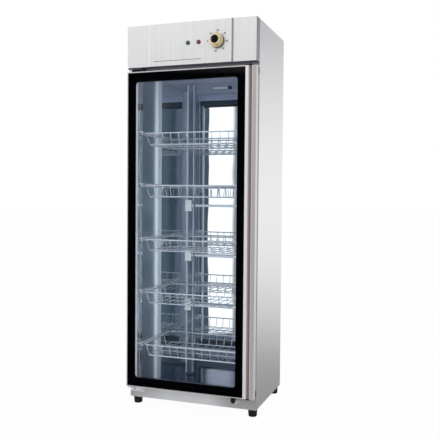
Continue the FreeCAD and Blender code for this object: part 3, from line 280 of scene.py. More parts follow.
def liner_material(name, satin_front_painted_reflection):
    """Mirror-polished sheet, slightly wavy as rolled; satin in front of the uprights if asked, with a dark teal
    base colour there as a painted reflection of the dark room.
    """
    made, nodes = material(name)
    waves = nodes.noise((2.2, 2.2, 1.3), 2.0, 2.0)
    fine = nodes.noise((60, 60, 60), 1.0, 3.0, seed=3.0)
    surface = nodes.add("ShaderNodeBsdfPrincipled", Metallic=0.98)
    color = nodes.tint(fine, (0.84, 0.88, 0.90), (0.88, 0.91, 0.93))
    roughness = nodes.spread(fine, 0.0, 0.012)
    if satin_front_painted_reflection:
        ahead = nodes.math("SUBTRACT", 1.0, nodes.step(nodes.place(1), 0.020, 0.008))
        roughness = nodes.math("ADD", roughness, nodes.math("MULTIPLY", ahead, 0.34))
        # painted reflection: the satin part ahead of the uprights is tinted dark teal
        color = nodes.blend(ahead, color, (0.44, 0.56, 0.63))
    nodes.join(color, surface.inputs["Base Color"])
    nodes.join(roughness, surface.inputs["Roughness"])
    nodes.join(nodes.bump(waves, 0.05, 0.004), surface.inputs["Normal"])
    nodes.finish(surface)
    return made


def header_material():
    """Upright brushing in fine streaks; the right bevel, the side returns and the underside are darkened as painted
    shade.
    """
    made, nodes = material("header_steel")
    broad = nodes.noise((110, 110, 1.2), 1.0, 2.0, seed=5.0)
    fine = nodes.noise((420, 420, 4), 1.0, 3.0, seed=1.0)
    streaks = nodes.math("ADD", nodes.math("MULTIPLY", broad, 0.5), nodes.math("MULTIPLY", fine, 0.5))
    front = nodes.tint(streaks, (0.83, 0.83, 0.82), (0.96, 0.96, 0.95))
    # painted shade: faces turned towards +x, the right bevel among them, are darkened to grey
    front = nodes.blend(nodes.facing(0, 1, 0.2), front, (0.40, 0.40, 0.41))
    returns = nodes.math("ADD", nodes.facing(0, 1), nodes.facing(0, -1))
    surface = nodes.add("ShaderNodeBsdfPrincipled", Metallic=0.5)
    # painted shade: the side returns are dark grey, the underside darker still
    sheet = nodes.blend(returns, front, (0.30, 0.28, 0.34))
    nodes.join(nodes.blend(nodes.facing(2, -1), sheet, (0.12, 0.11, 0.18)), surface.inputs["Base Color"])
    nodes.join(nodes.spread(streaks, 0.28, 0.32), surface.inputs["Roughness"])
    nodes.join(nodes.bump(streaks, 0.03, 0.0002), surface.inputs["Normal"])
    nodes.finish(surface)
    return made


def banded(name, stops, metallic, low, high, grain=BRUSHED_Z):
    """Brushed metal whose tone changes across the piece as painted light and shade; stops are (x in metres,
    colour).
    """
    made, nodes = material(name)
    span = nodes.tree.nodes.new("ShaderNodeMapRange")
    span.inputs["From Min"].default_value = low
    span.inputs["From Max"].default_value = high
    nodes.join(nodes.place(0), span.inputs["Value"])
    ramp = nodes.tree.nodes.new("ShaderNodeValToRGB")
    while len(ramp.color_ramp.elements) < len(stops):
        ramp.color_ramp.elements.new(0.5)
    for element, (place, color) in zip(ramp.color_ramp.elements, stops):
        element.position = (place - low) / (high - low)
        element.color = (*color, 1)
    nodes.join(span.outputs["Result"], ramp.inputs[0])
    streaks = nodes.noise(grain)
    tone = nodes.tint(streaks, (0.94, 0.94, 0.94), (1.0, 1.0, 1.0))
    surface = nodes.add("ShaderNodeBsdfPrincipled", Metallic=metallic)
    nodes.join(nodes.blend(1.0, ramp.outputs[0], tone, "MULTIPLY"), surface.inputs["Base Color"])
    nodes.join(nodes.spread(streaks, 0.33, 0.43), surface.inputs["Roughness"])
    nodes.join(nodes.bump(streaks, 0.05, 0.0002), surface.inputs["Normal"])
    nodes.finish(surface)
    return made


def chamber_sheet(name, color, metallic, roughness):
    """Satin floor or ceiling sheet of the chamber."""
    made, nodes = material(name)
    cloud = nodes.noise(FLAT, 8.0, 3.0)
    surface = nodes.add("ShaderNodeBsdfPrincipled", Metallic=metallic)
    dark = [c * 0.95 for c in color]
    nodes.join(nodes.tint(cloud, dark, color), surface.inputs["Base Color"])
    nodes.join(nodes.spread(cloud, roughness - 0.03, roughness + 0.03), surface.inputs["Roughness"])
    nodes.join(nodes.bump(cloud, 0.03, 0.01), surface.inputs["Normal"])
    nodes.finish(surface)
    return made


# pale lavender for the backs of lintel and sill: a painted reflection
LAVENDER_PAINTED_REFLECTION = (0.84, 0.86, 1.0)


def frame_steel():
    """Front frame of the chamber: satin outside, polished returns, pale lavender on the back of lintel and sill as
    a painted reflection.
    """
    made, nodes = material("front_frame_steel")
    streaks = nodes.noise(BRUSHED_Z)
    front, back = nodes.facing(1, -1), nodes.facing(1, 1)
    matt = nodes.math("ADD", front, back)
    surface = nodes.add("ShaderNodeBsdfPrincipled")
    satin = nodes.tint(streaks, (0.56, 0.56, 0.60), (0.62, 0.62, 0.66))
    polished = nodes.tint(streaks, (0.83, 0.87, 0.89), (0.88, 0.91, 0.93))
    color = nodes.blend(front, nodes.blend(back, polished, LAVENDER_PAINTED_REFLECTION), satin)
    metallic = nodes.math("SUBTRACT", 1.0, nodes.math("ADD", nodes.math("MULTIPLY", front, 0.3), back))
    nodes.join(color, surface.inputs["Base Color"])
    nodes.join(metallic, surface.inputs["Metallic"])
    nodes.join(nodes.math("ADD", nodes.math("MULTIPLY", matt, 0.28), 0.03), surface.inputs["Roughness"])
    nodes.finish(surface)
    return made


def carrier_plastic():
    """Seal carrier: upright edges beside the window pale as a painted highlight, dark blue-grey elsewhere as
    painted shade.
    """
    made, nodes = material("seal_carrier_profile")
    grain = nodes.noise(FLAT, 150.0, 3.0)
    side = nodes.math("ADD", nodes.facing(0, 1), nodes.facing(0, -1))
    pale = nodes.tint(grain, (0.50, 0.48, 0.50), (0.56, 0.54, 0.56))
    surface = nodes.add("ShaderNodeBsdfPrincipled")
    # painted highlight on the side faces, painted shade of dark blue-grey on the rest
    nodes.join(nodes.blend(side, (0.07, 0.11, 0.135), pale), surface.inputs["Base Color"])
    nodes.join(nodes.spread(grain, 0.36, 0.46), surface.inputs["Roughness"])
    nodes.join(nodes.bump(grain, 0.04, 0.0002), surface.inputs["Normal"])
    nodes.finish(surface)
    return made


def upright_steel():
    """Slotted upright: front edge painted near-white as a painted highlight, satin lavender-grey sides."""
    made, nodes = material("upright_steel")
    streaks = nodes.noise(BRUSHED_Z)
    patches = nodes.noise((30, 30, 12), 1.0, 3.0, seed=4.0)
    front = nodes.facing(1, -1)
    surface = nodes.add("ShaderNodeBsdfPrincipled")
    satin = nodes.tint(patches, (0.78, 0.78, 0.90), (0.94, 0.94, 1.0))
    # painted highlight: front-facing faces are near-white and non-metallic
    nodes.join(nodes.blend(front, satin, (0.98, 0.98, 1.0)), surface.inputs["Base Color"])
    nodes.join(nodes.math("SUBTRACT", 0.1, nodes.math("MULTIPLY", front, 0.1)), surface.inputs["Metallic"])
    nodes.join(nodes.spread(streaks, 0.20, 0.30), surface.inputs["Roughness"])
    nodes.join(nodes.bump(streaks, 0.04, 0.0002), surface.inputs["Normal"])
    nodes.finish(surface)
    return made


def channel_steel():
    """Heater channel: pale flange edges as a painted highlight, polished web between them, matt sides darkened to
    blue-grey as painted shade.
    """
    made, nodes = material("channel_steel")
    streaks = nodes.noise(BRUSHED_Z)
    front = nodes.facing(1, -1)
    web = nodes.inside(nodes.math("ABSOLUTE", nodes.place(0)), 0.1515, 0.1775, 0.001)
    surface = nodes.add("ShaderNodeBsdfPrincipled")
    pale = nodes.tint(streaks, (0.86, 0.86, 0.93), (0.95, 0.95, 1.0))
    face = nodes.blend(web, pale, (0.80, 0.82, 0.90))
    # painted shade: faces not turned to the front are dark blue-grey; the pale front flanges are a painted
    # highlight
    nodes.join(nodes.blend(front, (0.40, 0.44, 0.53), face), surface.inputs["Base Color"])
    polish = nodes.math("ADD", 0.3, nodes.math("MULTIPLY", web, 0.6))
    nodes.join(nodes.math("MULTIPLY", front, polish), surface.inputs["Metallic"])
    nodes.join(nodes.spread(streaks, 0.08, 0.16), surface.inputs["Roughness"])
    nodes.join(nodes.bump(streaks, 0.04, 0.0002), surface.inputs["Normal"])
    nodes.finish(surface)
    return made


def door_rail(name, axis, sign, inner):
    """Door edge steel whose faces towards the window and the chamber get a separate colour, near-black painted
    shade on the top and bottom rails.
    """
    made, nodes = material(name)
    streaks = nodes.noise(BRUSHED_Z)
    metal = nodes.tint(streaks, (0.81, 0.75, 0.74), (0.87, 0.81, 0.80))
    inside = nodes.math("ADD", nodes.facing(axis, sign), nodes.facing(1, 1))
    surface = nodes.add("ShaderNodeBsdfPrincipled")
    nodes.join(nodes.blend(inside, metal, inner), surface.inputs["Base Color"])
    nodes.join(nodes.math("SUBTRACT", 0.6, nodes.math("MULTIPLY", inside, 0.6)), surface.inputs["Metallic"])
    nodes.join(nodes.spread(streaks, 0.25, 0.35), surface.inputs["Roughness"])
    nodes.join(nodes.bump(streaks, 0.04, 0.0002), surface.inputs["Normal"])
    nodes.finish(surface)
    return made


def quartz_material():
    """Milky quartz, darker at the two electrode ends."""
    made, nodes = material("milky_quartz")
    reach = nodes.math("ABSOLUTE", nodes.place(0))
    end = nodes.inside(reach, 0.134, 0.1405, 0.0015)
    cloud = nodes.noise((20, 300, 300), 1.0, 3.0)
    milk = nodes.tint(cloud, (0.88, 0.88, 0.95), (0.96, 0.96, 1.0))
    surface = nodes.add("ShaderNodeBsdfPrincipled", IOR=1.40)
    surface.inputs["Transmission Weight"].default_value = 0.06
    surface.inputs["Coat Weight"].default_value = 0.5
    nodes.join(nodes.blend(end, milk, (0.10, 0.12, 0.15)), surface.inputs["Base Color"])
    nodes.join(nodes.spread(cloud, 0.10, 0.20), surface.inputs["Roughness"])
    nodes.finish(surface)
    return made


def ceramic_material():
    """White glazed ceramic, greyer on the sides that face across the chamber as painted shade."""
    made, nodes = material("ceramic_white")
    cloud = nodes.noise(FLAT, 80.0, 3.0)
    side = nodes.math("ADD", nodes.facing(0, 1), nodes.facing(0, -1))
    surface = nodes.add("ShaderNodeBsdfPrincipled")
    surface.inputs["Coat Weight"].default_value = 0.3
    white = nodes.tint(cloud, (0.94, 0.97, 0.95), (0.98, 1.0, 0.99))
    # painted shade: sides facing along x are grey instead of white
    nodes.join(nodes.blend(side, white, (0.42, 0.44, 0.48)), surface.inputs["Base Color"])
    nodes.join(nodes.spread(cloud, 0.30, 0.40), surface.inputs["Roughness"])
    nodes.join(nodes.bump(cloud, 0.1, 0.0002), surface.inputs["Normal"])
    nodes.finish(surface)
    return made


LOOKS["ceramic"] = ceramic_material()
LOOKS["quartz"] = quartz_material()
LOOKS["front_frame"] = frame_steel()
LOOKS["seal_carrier"] = carrier_plastic()
LOOKS["liner"] = liner_material("liner_mirror", False)
LOOKS["header"] = header_material()
# painted shade and painted highlights: the dark stops lie over the grip groove, the narrow light stops at 0.2805
# and 0.2995 on its edges
LOOKS["handle_metal"] = banded(
    "handle_aluminium", [(0.2515, (0.96, 0.95, 0.94)), (0.264, (0.94, 0.92, 0.90)), (0.266, (0.58, 0.51, 0.48)),
                         (0.279, (0.50, 0.43, 0.40)), (0.2805, (0.76, 0.69, 0.67)), (0.286, (0.53, 0.51, 0.50)),
                         (0.2985, (0.54, 0.52, 0.51)), (0.2995, (0.80, 0.79, 0.78))], 0.35, 0.25, 0.30)
# painted reflection: the base front is lighter across the middle and darker towards both ends
LOOKS["base_steel"] = banded(
    "base_steel", [(-0.30, (0.50, 0.50, 0.51)), (-0.12, (0.90, 0.91, 0.92)), (0.08, (0.95, 0.96, 0.97)),
                   (0.18, (0.60, 0.59, 0.59)), (0.30, (0.53, 0.52, 0.52))], 0.5, -0.3, 0.3, BRUSHED_X)
BY_NODE = {
    # painted light and shade: the two brackets are lit and shaded copies of one steel, the lower pale, the upper
    # near-black
    "hinge_bracket_bottom": shaded("hinge_steel_painted_light", (0.92, 0.91, 0.97), 0.3, 0.3, 0.03, BRUSHED_X, 1.0),
    "hinge_bracket_top": shaded("hinge_steel_painted_shade", (0.10, 0.09, 0.12), 0.6, 0.3, 0.05, BRUSHED_Z, 1.0),
    "uprights": upright_steel(),
    "door_frame_left": door_rail("door_edge_left", 0, 1, (0.76, 0.71, 0.71)),
    # painted shade: the top and bottom rails' inner faces are near-black
    "door_frame_top": door_rail("door_edge_top", 2, -1, (0.02, 0.025, 0.03)),
    "door_frame_bottom": door_rail("door_edge_bottom", 2, 1, (0.02, 0.025, 0.03)),
    "liner_ceiling": chamber_sheet("ceiling_steel", (0.44, 0.45, 0.57), 0.0, 0.45),
    # painted shade: the polished floor's colour is darkened to a dark blue-grey
    "liner_floor": chamber_sheet("liner_floor_painted_shade", (0.20, 0.21, 0.30), 1.0, 0.07),
    "liner_sides": liner_material("liner_side_steel", True),
    "heater_channels": channel_steel(),
}
EXTRA = {
    "print_dark": shaded("dial_print", (0.03, 0.025, 0.02), 0.0, 0.5, 0.1, FLAT, 300.0),
    "bracket_wire": shaded("bracket_wire", (0.93, 0.93, 0.98), 0.25, 0.2, 0.03, FLAT, 150.0, 0.04, 0.03),
    "bulb_steel": shaded("bulb_steel", (0.97, 0.97, 1.0), 0.15, 0.2, 0.03, FLAT, 150.0, 0.04, 0.03),
    # painted shade of the engraved groove on the header
    "engraved_groove_shade": shaded("engraved_groove_shade", (0.10, 0.10, 0.11), 0.3, 0.4, 0.05, FLAT, 100.0),
}


def dress_cad_nodes():
    slots = {part["node"]: part["material_slot"] for part in frame["record"]["subparts"]}
    for name, item in frame["nodes"].items():
        if not item.material_slots:
            item.data.materials.append(None)
        for index in range(len(item.material_slots)):
            item.material_slots[index].material = BY_NODE[name] if name in BY_NODE else LOOKS[slots[name]]


# ------------------------------------------------------------------ mesh helpers

def piece(name, mesh, look, body, replaces=(), smooth=True):
    item = bpy.data.objects.new(name, mesh)
    bpy.context.scene.collection.objects.link(item)
    item.data.materials.clear()
    item.data.materials.append(look)
    if smooth:
        item.data.shade_smooth()
    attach(item, body)
    if replaces:
        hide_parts(*replaces)
    return item


def mesh_from(bm, name):
    bmesh.ops.recalc_face_normals(bm, faces=bm.faces)
    mesh = bpy.data.meshes.new(name)
    bm.to_mesh(mesh)
    bm.free()
    return mesh


def add_lathe(bm, profile, place, segments=48):
    """Closed solid of revolution; profile is (radius, height) in mm, place maps (x, y, height) to the frame."""
    rings = []
    for radius, height in profile:
        if radius < 1e-6:
            rings.append([bm.verts.new(place(0, 0, height))])
            continue
        ring = []
        for step in range(segments):
            angle = 2 * math.pi * step / segments
            ring.append(bm.verts.new(place(radius * math.cos(angle), radius * math.sin(angle), height)))
        rings.append(ring)
    for first, second in zip(rings, rings[1:]):
        for step in range(segments):
            after = (step + 1) % segments
            if len(first) == 1 and len(second) == 1:
                continue
            if len(first) == 1:
                bm.faces.new((first[0], second[step], second[after]))
            elif len(second) == 1:
                bm.faces.new((first[step], second[0], first[after]))
            else:
                bm.faces.new((first[step], first[after], second[after], second[step]))


def add_skin(bm, rings, closed=False):
    """Quads between neighbouring rings, each ring a closed loop; flat ends unless the rings close on themselves."""
    pairs = list(zip(rings, rings[1:]))
    if closed:
        pairs.append((rings[-1], rings[0]))
    else:
        bm.faces.new(rings[0])
        bm.faces.new(rings[-1])
    for first, second in pairs:
        for step in range(len(first)):
            after = (step + 1) % len(first)
            bm.faces.new((first[step], first[after], second[after], second[step]))


def facing_front(x, y, z):
    """Place for a lathe whose height runs forward from (x, y, z)."""
    return lambda u, v, height: mm(x + u, y - height, z + v)


def standing(x, y, z):
    """Place for a lathe whose height runs up from (x, y, z)."""
    return lambda u, v, height: mm(x + u, y + v, z + height)


def toward_middle(side, x, y, z):
    """Place for a lathe whose height runs from (side * x, y, z) towards x = 0."""
    return lambda u, v, height: mm(side * (x - height), y + u, z + v)


def rounded_path(points, bend, steps=6, closed=False):
    """Points along a polyline whose corners are bent to the radius."""
    corners = [Vector(p) for p in points]
    count = len(corners)
    path = []
    for index, corner in enumerate(corners):
        if not closed and index in (0, count - 1):
            path.append(corner)
            continue
        back = (corners[index - 1] - corner).normalized()
        ahead = (corners[(index + 1) % count] - corner).normalized()
        half = back.angle(ahead) / 2
        run = bend / math.tan(half)
        centre = corner + (back + ahead).normalized() * (bend / math.sin(half))
        start = corner + back * run - centre
        end = corner + ahead * run - centre
        sweep = start.angle(end)
        for step in range(steps + 1):
            share = step / steps
            arm = (start * math.sin((1 - share) * sweep) + end * math.sin(share * sweep)) / math.sin(sweep)
            path.append(centre + arm)
    return path


def add_tube(bm, path, radius, sides=10, closed=False):
    """Round tube along a list of points in mm."""
    count = len(path)
    rings = []
    normal = None
    for index, point in enumerate(path):
        if closed:
            along = (path[(index + 1) % count] - path[index - 1]).normalized()
        else:
            along = (path[min(index + 1, count - 1)] - path[max(index - 1, 0)]).normalized()
        if normal is None:
            guide = Vector((0, 0, 1)) if abs(along.z) < 0.9 else Vector((0, 1, 0))
            normal = guide.cross(along).normalized()
        normal = (normal - along * normal.dot(along)).normalized()
        side = along.cross(normal)
        ring = []
        for step in range(sides):
            angle = 2 * math.pi * step / sides
            spot = point + normal * (radius * math.cos(angle)) + side * (radius * math.sin(angle))
            ring.append(bm.verts.new(mm(*spot)))
        rings.append(ring)
    add_skin(bm, rings, closed)


def add_box(bm, x0, x1, y0, y1, z0, z1, bevel=0.0, segments=2):
    """Box between two corners in mm, with rounded edges if bevel is given."""
    made = bmesh.new()
    bmesh.ops.create_cube(made, size=1.0)
    for vert in made.verts:
        vert.co = mm(x0 + (vert.co.x + 0.5) * (x1 - x0), y0 + (vert.co.y + 0.5) * (y1 - y0),
                     z0 + (vert.co.z + 0.5) * (z1 - z0))
    if bevel:
        bmesh.ops.bevel(made, geom=made.edges[:], offset=bevel / 1000.0, segments=segments,
                        affect="EDGES", profile=0.5)
    join(bm, made)


def join(bm, other):
    """Adds a copy of another bmesh and frees it."""
    mesh = bpy.data.meshes.new("scratch")
    other.to_mesh(mesh)
    other.free()
    bm.from_mesh(mesh)
    bpy.data.meshes.remove(mesh)


# ------------------------------------------------------------------ baskets

LEVELS = (237.0, 479.0, 720.0, 967.0, 1203.0)
GUIDE_X = 255.2
RIM_X = 249.8
RIM_FRONT, RIM_BACK = 20.0, 340.0
RING_X = 231.8
RING_FRONT, RING_BACK = 33.0, 327.0
RIM_RADIUS, RING_RADIUS, WIRE = 3.0, 2.2, 1.6
DROP = 50.0                  # rim to floor ring
COLUMN_PITCH = 39.0
CROSS_ROWS = (52.7, 147.66, 250.56)
REST_X = 252.8
REST_DROP = 4.124            # rim centre to rest wire
GUIDE_RISE = 7.0
GUIDE_RADIUS, REST_RADIUS = 2.0, 1.8
BRACKET_BACK = 377.0
UPRIGHT_FACE_X = 257.5


def basket(index, level):
    bm = bmesh.new()
    rim = [(-RIM_X, RIM_FRONT, level), (RIM_X, RIM_FRONT, level),
           (RIM_X, RIM_BACK, level), (-RIM_X, RIM_BACK, level)]
    add_tube(bm, rounded_path(rim, 30.0, 8, True), RIM_RADIUS, 14, True)
    low = level - DROP
    ring = [(-RING_X, RING_FRONT, low), (RING_X, RING_FRONT, low),
            (RING_X, RING_BACK, low), (-RING_X, RING_BACK, low)]
    add_tube(bm, rounded_path(ring, 20.0, 6, True), RING_RADIUS, 12, True)
    for column in range(-5, 6):
        x = column * COLUMN_PITCH
        hoop = [(x, RIM_FRONT, level), (x, RING_FRONT, low), (x, RING_BACK, low), (x, RIM_BACK, level)]
        add_tube(bm, rounded_path(hoop, 5.0, 3), WIRE, 8)
    under = low - 2 * WIRE + 0.6
    for y in CROSS_ROWS:
        hoop = [(-RIM_X, y, level), (-RING_X - 1.0, y, under), (RING_X + 1.0, y, under), (RIM_X, y, level)]
        add_tube(bm, rounded_path(hoop, 5.0, 3), WIRE, 8)
    name = "basket_wires_%d" % index
    piece(name, mesh_from(bm, name), LOOKS["wire_chrome"], "basket_%d_body" % index,
          ["basket_%d" % index])


def brackets():
    bm = bmesh.new()
    for side in (-1, 1):
        for level in LEVELS:
            guide_z, rest_z = level + GUIDE_RISE, level - REST_DROP
            guide = [(side * 272, 9, guide_z), (side * GUIDE_X, 9, guide_z), (side * GUIDE_X, 395, guide_z)]
            add_tube(bm, rounded_path(guide, 6.0, 6), GUIDE_RADIUS, 12)
            rest = [(side * GUIDE_X, 15, guide_z), (side * GUIDE_X, 15, rest_z),
                    (side * REST_X, 20.4, rest_z), (side * REST_X, BRACKET_BACK, rest_z)]
            add_tube(bm, rounded_path(rest, 2.16, 4), REST_RADIUS, 12)
            end = [Vector((side * GUIDE_X, BRACKET_BACK, guide_z)), Vector((side * REST_X, BRACKET_BACK, rest_z))]
            add_tube(bm, end, 1.62, 12)
            hook = [Vector((side * UPRIGHT_FACE_X, 207, guide_z)), Vector((side * GUIDE_X, 207, guide_z))]
            add_tube(bm, hook, 1.6, 12)
    piece("bracket_wires", mesh_from(bm, "bracket_wires"), EXTRA["bracket_wire"], "cabinet",
          ["basket_brackets"])


# ------------------------------------------------------------------ header

KNOB_X, KNOB_Z = 125.0, 1580.0
LAMP_GREEN_X, LAMP_RED_X = -8.5, 40.5
FACE_Y = -46.0               # front of the header's raised centre
DIAL_STEP = 46.5             # degrees between two figures
FIGURE_REACH = 44.0


def timer_knob():
    bm = bmesh.new()
    profile = [(3.0, 0.5), (29.5, 0.5), (29.5, 12.7), (30.6, 12.7), (30.5, 13.5), (29.8, 14.0), (28.4, 14.0),
               (27.6, 13.4), (25.4, 9.6), (22.8, 7.4), (21.2, 7.2), (20.5, 8.2), (20.2, 20.0), (20.0, 32.6),
               (19.4, 34.2), (18.2, 35.0), (17.4, 35.0), (16.9, 34.4), (16.8, 32.0), (3.0, 32.0)]
    add_lathe(bm, profile + profile[:1], facing_front(KNOB_X, FACE_Y, KNOB_Z), 72)
    piece("knob_gold", mesh_from(bm, "knob_gold"), LOOKS["knob_gold"], "timer_dial", ["timer_knob"])
    bm = bmesh.new()
    # painted shade: a black sleeve over the gold rim's side wall stands for the shade there
    rim_shade_profile = [(29.6, 0.5), (30.4, 0.5), (31.0, 1.1), (31.0, 12.0), (30.6, 12.6), (29.6, 12.6)]
    add_lathe(bm, rim_shade_profile + rim_shade_profile[:1], facing_front(KNOB_X, FACE_Y, KNOB_Z), 72)
    piece("knob_rim_shade", mesh_from(bm, "knob_rim_shade"), LOOKS["knob_black"], "timer_dial")
    bm = bmesh.new()
    profile = [(0.0, 32.0), (16.6, 32.0), (16.6, 34.0), (16.0, 34.5), (12.0, 34.8), (0.0, 34.9)]
    add_lathe(bm, profile, facing_front(KNOB_X, FACE_Y, KNOB_Z), 64)
    piece("knob_insert", mesh_from(bm, "knob_insert"), LOOKS["knob_black"], "timer_dial",
          ["timer_knob_insert"])
    bm = bmesh.new()
    add_box(bm, KNOB_X - 15.0, KNOB_X - 10.0, FACE_Y - 35.0, FACE_Y - 34.5, KNOB_Z - 0.5, KNOB_Z + 0.5, 0.15)
    piece("knob_pointer", mesh_from(bm, "knob_pointer"), LOOKS["stop_nylon"], "timer_dial",
          smooth=False)


def lamp(name, x, look, node):
    bm = bmesh.new()
    profile = [(0.0, 0.0), (7.6, 0.0), (7.6, 3.6), (7.2, 4.6), (6.2, 5.2), (4.2, 5.4), (0.0, 5.5)]
    add_lathe(bm, profile, facing_front(x, FACE_Y, KNOB_Z), 48)
    piece(name, mesh_from(bm, name), look, "cabinet", [node])


def lamps():
    lamp("lens_green", LAMP_GREEN_X, LOOKS["lamp_green"], "lamp_green_lens")
    lamp("lens_red", LAMP_RED_X, LOOKS["lamp_red"], "lamp_red_lens")
    bm = bmesh.new()
    for x in (LAMP_GREEN_X, LAMP_RED_X):
        profile = [(7.9, 0.0), (9.5, 0.0), (9.5, 1.8), (9.2, 2.6), (8.6, 3.3), (8.1, 3.5), (7.9, 3.2)]
        add_lathe(bm, profile + profile[:1], facing_front(x, FACE_Y, KNOB_Z), 48)
    piece("lamp_rings", mesh_from(bm, "lamp_rings"), LOOKS["lamp_bezel"], "cabinet",
          ["lamp_bezels"])


def text_mesh(name, words, x, z, size):
    """Printed figure on the header face, 0.2 mm thick, centred on (x, z)."""
    data = bpy.data.curves.new(name, "FONT")
    data.body = words
    data.size = size / 1000.0
    data.extrude = 0.0001
    data.offset = 0.0003
    data.align_x = "CENTER"
    data.align_y = "CENTER"
    source = bpy.data.objects.new(name, data)
    bpy.context.scene.collection.objects.link(source)
    bpy.context.view_layer.update()
    mesh = bpy.data.meshes.new_from_object(source.evaluated_get(bpy.context.evaluated_depsgraph_get()))
    bpy.data.objects.remove(source)
    mesh.transform(Matrix.Translation(mm(x, FACE_Y - 0.1, z)) @ Matrix.Rotation(math.radians(90), 4, "X"))
    return mesh


def dial_print():
    bm = bmesh.new()
    for index, figure in enumerate(("0", "10", "20", "30", "40", "50", "60")):
        angle = math.radians(180 - index * DIAL_STEP)
        along = Vector((math.cos(angle), 0, math.sin(angle)))
        side = Vector((-math.sin(angle), 0, math.cos(angle)))
        corners = []
        for depth in (0.0, 0.2):
            for reach, shift in ((33.0, -1.0), (37.0, -1.0), (37.0, 1.0), (33.0, 1.0)):
                spot = along * reach + side * shift
                corners.append(bm.verts.new(mm(KNOB_X + spot.x, FACE_Y - depth, KNOB_Z + spot.z)))
        add_skin(bm, (corners[:4], corners[4:]))
        mesh = text_mesh("dial_" + figure, figure, KNOB_X + FIGURE_REACH * along.x,
                         KNOB_Z + FIGURE_REACH * along.z, 10.0)
        piece("dial_figure_" + figure, mesh, EXTRA["print_dark"], "cabinet", smooth=False)
    piece("dial_ticks", mesh_from(bm, "dial_ticks"), EXTRA["print_dark"], "cabinet", smooth=False)


def engraved_groove_shade():
    bm = bmesh.new()
    # painted shade: a dark strip stands for the shaded wall of an engraved groove
    add_box(bm, -173.0, 53.0, FACE_Y - 0.3, FACE_Y, 1508.0, 1510.0, 0.1, 1)
    piece("header_groove_shade", mesh_from(bm, "header_groove_shade"), EXTRA["engraved_groove_shade"], "cabinet",
          smooth=False)


# ------------------------------------------------------------------ small hardware

FOOT_X, FOOT_ROWS = 276.0, (30.0, 388.0)
TUBE_LEVELS = (373.0, 623.0, 873.0)
TUBE_Y, TUBE_RADIUS, TUBE_REACH = 370.5, 6.0, 160.0
HOLDER_X0, HOLDER_X1, HOLDER_HALF = 149.0, 183.0, 27.5
SENSOR_X, SENSOR_Y, SENSOR_Z = -49.0, 387.0, 1457.0
LINER_BACK_Y = 395.0
LOCK_X, LOCK_Z, LOCK_HALF = 200.5, 35.0, 9.7

def feet():
    bm = bmesh.new()
    profile = [(0.0, 0.0), (14.5, 0.0), (17.0, 0.6), (18.3, 2.4), (18.7, 5.0), (19.6, 20.0), (20.1, 29.0),
               (20.5, 30.0), (20.5, 35.0), (0.0, 35.0)]
    for x in (-FOOT_X, FOOT_X):
        for y in FOOT_ROWS:
            add_lathe(bm, profile, standing(x, y, -FOOT_HEIGHT), 48)
    piece("rubber_feet", mesh_from(bm, "rubber_feet"), LOOKS["foot_rubber"], "cabinet", ["feet"])


def ceramic_holders():
    bm = bmesh.new()
    for side in (-1, 1):
        for level in TUBE_LEVELS:
            x0, x1 = sorted((side * HOLDER_X0, side * HOLDER_X1))
            add_box(bm, x0, x1, 360.0, 383.0, level - HOLDER_HALF, level + HOLDER_HALF, 1.2)
            for z0, z1 in ((-HOLDER_HALF, -19.5), (-14.5, 14.5), (19.5, HOLDER_HALF)):
                add_box(bm, x0, x1, 358.0, 362.0, level + z0, level + z1, 1.0)
            collar = [(6.1, 0.0), (7.5, 0.0), (7.5, 8.2), (6.9, 9.0), (6.1, 9.0)]
            add_lathe(bm, collar + collar[:1], toward_middle(side, HOLDER_X0, TUBE_Y, level), 32)
    piece("ceramic_blocks", mesh_from(bm, "ceramic_blocks"), LOOKS["ceramic"], "cabinet",
          ["ceramic_holders"])


def heating_tubes():
    bm = bmesh.new()
    for level in TUBE_LEVELS:
        path = [Vector((share * TUBE_REACH, TUBE_Y, level)) for share in (-1.0, -0.5, 0.0, 0.5, 1.0)]
        add_tube(bm, path, TUBE_RADIUS, 24)
    piece("quartz_tubes", mesh_from(bm, "quartz_tubes"), LOOKS["quartz"], "cabinet", ["heating_tubes"])


def thermostat_bulb():
    """Sensor rod in its clip on the back wall, and the rubber grommet that it comes out of."""
    bm = bmesh.new()
    profile = [(0.0, 0.0), (2.2, 0.2), (3.0, 1.0), (3.2, 2.2), (3.2, 78.0), (0.0, 78.0)]
    add_lathe(bm, profile, lambda u, v, height: mm(SENSOR_X + height, SENSOR_Y + u, SENSOR_Z + v), 24)
    add_box(bm, -33.0, -27.0, SENSOR_Y - 4.7, LINER_BACK_Y, SENSOR_Z - 4.7, SENSOR_Z + 4.7, 1.0)
    piece("sensor_bulb", mesh_from(bm, "sensor_bulb"), EXTRA["bulb_steel"], "cabinet",
          ["thermostat_bulb"])
    bm = bmesh.new()
    profile = [(0.0, 0.0), (9.0, 0.0), (9.0, 6.0), (8.2, 9.5), (6.6, 11.6), (5.0, 12.0), (0.0, 12.0)]
    add_lathe(bm, profile, facing_front(36.0, LINER_BACK_Y, SENSOR_Z), 32)
    piece("sensor_grommet", mesh_from(bm, "sensor_grommet"), LOOKS["buffer_rubber"], "cabinet")


